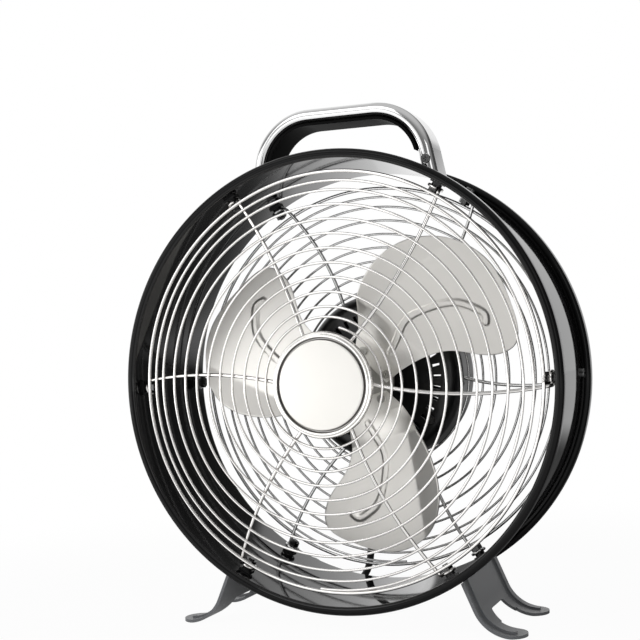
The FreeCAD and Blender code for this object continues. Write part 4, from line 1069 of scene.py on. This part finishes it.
handleLook = {"colour": (0.74, 0.74, 0.74), "tone": (0.66, 0.66, 0.66), "rough": 0.09, "spread": 0.06,
              "metal": 1.0, "grainStrength": 0.08}
gripLook = {"colour": (0.006, 0.006, 0.006), "tone": (0.009, 0.009, 0.009), "rough": 0.45, "specular": 0.02,
            "grainScale": 1600.0, "grainHeight": 0.00001, "grainStrength": 0.1}
footLook = {"colour": (0.165, 0.17, 0.18), "tone": (0.19, 0.195, 0.205), "rough": 0.34, "spread": 0.08,
            "grainScale": 900.0, "grainHeight": 0.00002, "grainStrength": 0.15, "edgeHighlight": 0.3,
            "edgeHighlightColour": (0.3, 0.3, 0.3), "dust": 0.04}
leadLook = {"colour": (0.012, 0.012, 0.012), "tone": (0.018, 0.018, 0.018), "rough": 0.42,
            "grainScale": 1400.0, "grainHeight": 0.00002}
plugLook = {"colour": (0.014, 0.014, 0.015), "tone": (0.02, 0.02, 0.02), "rough": 0.3, "grainScale": 1400.0,
            "grainHeight": 0.00002, "edgeHighlight": 0.1, "edgeHighlightColour": (0.06, 0.06, 0.06)}
pinLook = {"colour": (0.72, 0.68, 0.55), "tone": (0.6, 0.55, 0.42), "rough": 0.2, "metal": 1.0,
           "toneScale": 200.0}

dress(newFinish("handleChrome", handleLook), "handle")
dress(newFinish("gripRubber", gripLook), "handle_grip")
dress(newFinish("footEnamel", footLook), "right_foot", "left_foot")
dress(newFinish("pinPlate", pinLook), "plug_pins")
plugMoulding.data.materials.append(newFinish("plugMoulded", plugLook))
leadBoot.data.materials.append(plugMoulding.data.materials[0])
mainsLead.data.materials.append(newFinish("leadRubber", leadLook))
print("handle, feet and lead finished")


# floor, light and background

studioFacts = {
    "floorSize": 6.0,  # metres from its middle to each side
    "floorColour": (0.90, 0.90, 0.90),
    "floorRough": 0.9,
    "floorWhite": 0.965,  # share of plain white that the camera sees in the floor, beside its shadow
    "floorFade": (0.25, 0.6),  # metres from the middle over which that share grows to all of it
    "floorUnder": 0.10,  # what shiny surfaces see of the floor under the fan, a painted shadow
    "floorBefore": 0.9,  # before it
    "beforeEdge": (-0.05, 0.2),
    "floorLeft": 1.3,  # before it and to its left
    "leftEdge": (0.05, 0.25),
    "floorBehind": 0.9,  # and far behind it
    "behindEdge": (0.5, 0.9),
    "behindSide": (0.0, 0.3),  # where that far floor ends, towards +X
    "backdropSpread": 0.25,  # how much further to +X it ends for each metre behind
    "skyLevel": 0.25,  # on dull surfaces
    "roomGlow": 0.22,  # what shiny surfaces see of the dim room in front, and of its ceiling
    "ceilingGlow": 0.7,
    "ceilingEdge": (0.25, 0.95),
    "backdropEnds": (0.36, 0.43),  # where the white backdrop gives way to the dim room, towards +X
    "backdropNarrows": 0.8,  # and so much sooner above and below the horizon
    "besideBackdrop": 0.07,
    "besideEdge": (0.45, 0.95),  # where what is beside the backdrop gives way to the ceiling
    "roomEdge": (-0.1, 0.3),  # between the room in front and the backdrop behind
    "lamps": [  # name, place, width, height, glow
        ("keyLamp", (-0.6, -1.15, 1.2), 1.0, 0.8, 1.8),
        ("frontLamp", (-0.55, -1.5, 0.2), 0.9, 0.7, 0.86),
        ("sideLamp", (-1.3, -0.75, 0.25), 1.4, 1.2, 1.5),
        ("rightLamp", (1.15, -1.15, 0.5), 0.6, 1.1, 1.2),
    ],
}


def ramp(tree, value, low, high):
    # 0 to 1 as the value goes from low to high, softly
    return addNode(tree, "ShaderNodeMapRange", {"Value": value, "From Min": low, "From Max": high},
                   interpolation_type="SMOOTHSTEP").outputs[0]


def between(tree, share, first, second):
    # first where the share is 0, second where it is 1
    extra = mathNode(tree, "MULTIPLY", share, mathNode(tree, "SUBTRACT", second, first))
    return mathNode(tree, "ADD", first, extra)


def floorGloss(tree, parts, facts):
    # painted reflection: how bright the floor glows for shiny surfaces at each place, dim under the fan as a
    # painted shadow
    minusY = mathNode(tree, "MULTIPLY", parts.outputs["Y"], -1.0)
    minusX = mathNode(tree, "MULTIPLY", parts.outputs["X"], -1.0)
    before = ramp(tree, minusY, *facts["beforeEdge"])
    left = ramp(tree, minusX, *facts["leftEdge"])
    widening = mathNode(tree, "MULTIPLY", parts.outputs["Y"], facts["backdropSpread"])
    sideways = mathNode(tree, "SUBTRACT", parts.outputs["X"], widening)
    inside = mathNode(tree, "SUBTRACT", 1.0, ramp(tree, sideways, *facts["behindSide"]))
    behind = mathNode(tree, "MULTIPLY", ramp(tree, parts.outputs["Y"], *facts["behindEdge"]), inside)
    level = between(tree, before, facts["floorUnder"], facts["floorBefore"])
    level = between(tree, mathNode(tree, "MULTIPLY", left, before), level, facts["floorLeft"])
    return between(tree, behind, level, facts["floorBehind"])


def addFloor(facts):
    # white paper that keeps the fan's shadow
    shape = bmesh.new()
    bmesh.ops.create_grid(shape, x_segments=2, y_segments=2, size=facts["floorSize"])
    mesh = bpy.data.meshes.new("floor")
    shape.to_mesh(mesh)
    shape.free()
    floor = bpy.data.objects.new("floor", mesh)
    bpy.context.scene.collection.objects.link(floor)
    material = bpy.data.materials.new("floorPaper")
    material.use_nodes = True
    tree = material.node_tree
    shader = tree.nodes["Principled BSDF"]
    shader.inputs["Base Color"].default_value = opaque(facts["floorColour"])
    shader.inputs["Roughness"].default_value = facts["floorRough"]
    shader.inputs["Specular IOR Level"].default_value = 0.0
    seen = addNode(tree, "ShaderNodeLightPath")
    place = addNode(tree, "ShaderNodeTexCoord").outputs["Object"]
    parts = addNode(tree, "ShaderNodeSeparateXYZ", {0: place})
    far = addNode(tree, "ShaderNodeVectorMath", {0: place}, operation="LENGTH").outputs["Value"]
    white = between(tree, ramp(tree, far, *facts["floorFade"]), facts["floorWhite"], 1.0)
    share = mathNode(tree, "MULTIPLY", seen.outputs["Is Camera Ray"], white)
    share = mathNode(tree, "ADD", share, seen.outputs["Is Glossy Ray"])
    level = between(tree, seen.outputs["Is Glossy Ray"], 1.0, floorGloss(tree, parts, facts))
    glow = addNode(tree, "ShaderNodeEmission", {"Color": (1, 1, 1, 1), "Strength": level})
    blend = addNode(tree, "ShaderNodeMixShader", {0: share})
    tree.links.new(shader.outputs[0], blend.inputs[1])
    tree.links.new(glow.outputs[0], blend.inputs[2])
    tree.links.new(blend.outputs[0], tree.nodes["Material Output"].inputs[0])
    mesh.materials.append(material)


def skyGloss(tree, parts, facts):
    # what shiny surfaces see around them: a dim room in front, a white backdrop behind, a ceiling
    height = parts.outputs["Z"]
    room = between(tree, ramp(tree, height, *facts["ceilingEdge"]), facts["roomGlow"], facts["ceilingGlow"])
    narrowed = mathNode(tree, "MULTIPLY", mathNode(tree, "ABSOLUTE", height), facts["backdropNarrows"])
    sideways = mathNode(tree, "ADD", parts.outputs["X"], narrowed)
    backdrop = mathNode(tree, "SUBTRACT", 1.0, ramp(tree, sideways, *facts["backdropEnds"]))
    upward = ramp(tree, height, *facts["besideEdge"])
    beside = between(tree, upward, facts["besideBackdrop"], facts["ceilingGlow"])
    behind = between(tree, backdrop, beside, 1.0)
    return between(tree, ramp(tree, parts.outputs["Y"], *facts["roomEdge"]), room, behind)


def addSky(facts):
    # plain white to the camera, dim light on dull surfaces
    world = bpy.data.worlds.new("studio")
    bpy.context.scene.world = world
    world.use_nodes = True
    tree = world.node_tree
    seen = addNode(tree, "ShaderNodeLightPath")
    way = addNode(tree, "ShaderNodeTexCoord").outputs["Generated"]
    parts = addNode(tree, "ShaderNodeSeparateXYZ", {0: way})
    level = between(tree, seen.outputs["Is Glossy Ray"], facts["skyLevel"], skyGloss(tree, parts, facts))
    plain = mathNode(tree, "MAXIMUM", seen.outputs["Is Camera Ray"], seen.outputs["Is Transmission Ray"])
    level = between(tree, plain, level, 1.0)
    sky = tree.nodes["Background"]
    sky.inputs["Color"].default_value = (1, 1, 1, 1)
    tree.links.new(level, sky.inputs["Strength"])


def addLamps(facts):
    # soft boxes that face the middle of the drum
    target = drumMiddle * mm
    for name, place, width, height, glow in facts["lamps"]:
        light = bpy.data.lights.new(name, "AREA")
        light.shape = "RECTANGLE"
        light.size, light.size_y = width, height
        light.energy = glow * math.pi * width * height
        lamp = bpy.data.objects.new(name, light)
        bpy.context.scene.collection.objects.link(lamp)
        way = target - Vector(place)
        lamp.matrix_world = Matrix.Translation(place) @ way.to_track_quat("-Z", "Y").to_matrix().to_4x4()


addFloor(studioFacts)
addSky(studioFacts)
addLamps(studioFacts)
bpy.context.scene.view_settings.view_transform = "Standard"
print("studio set")
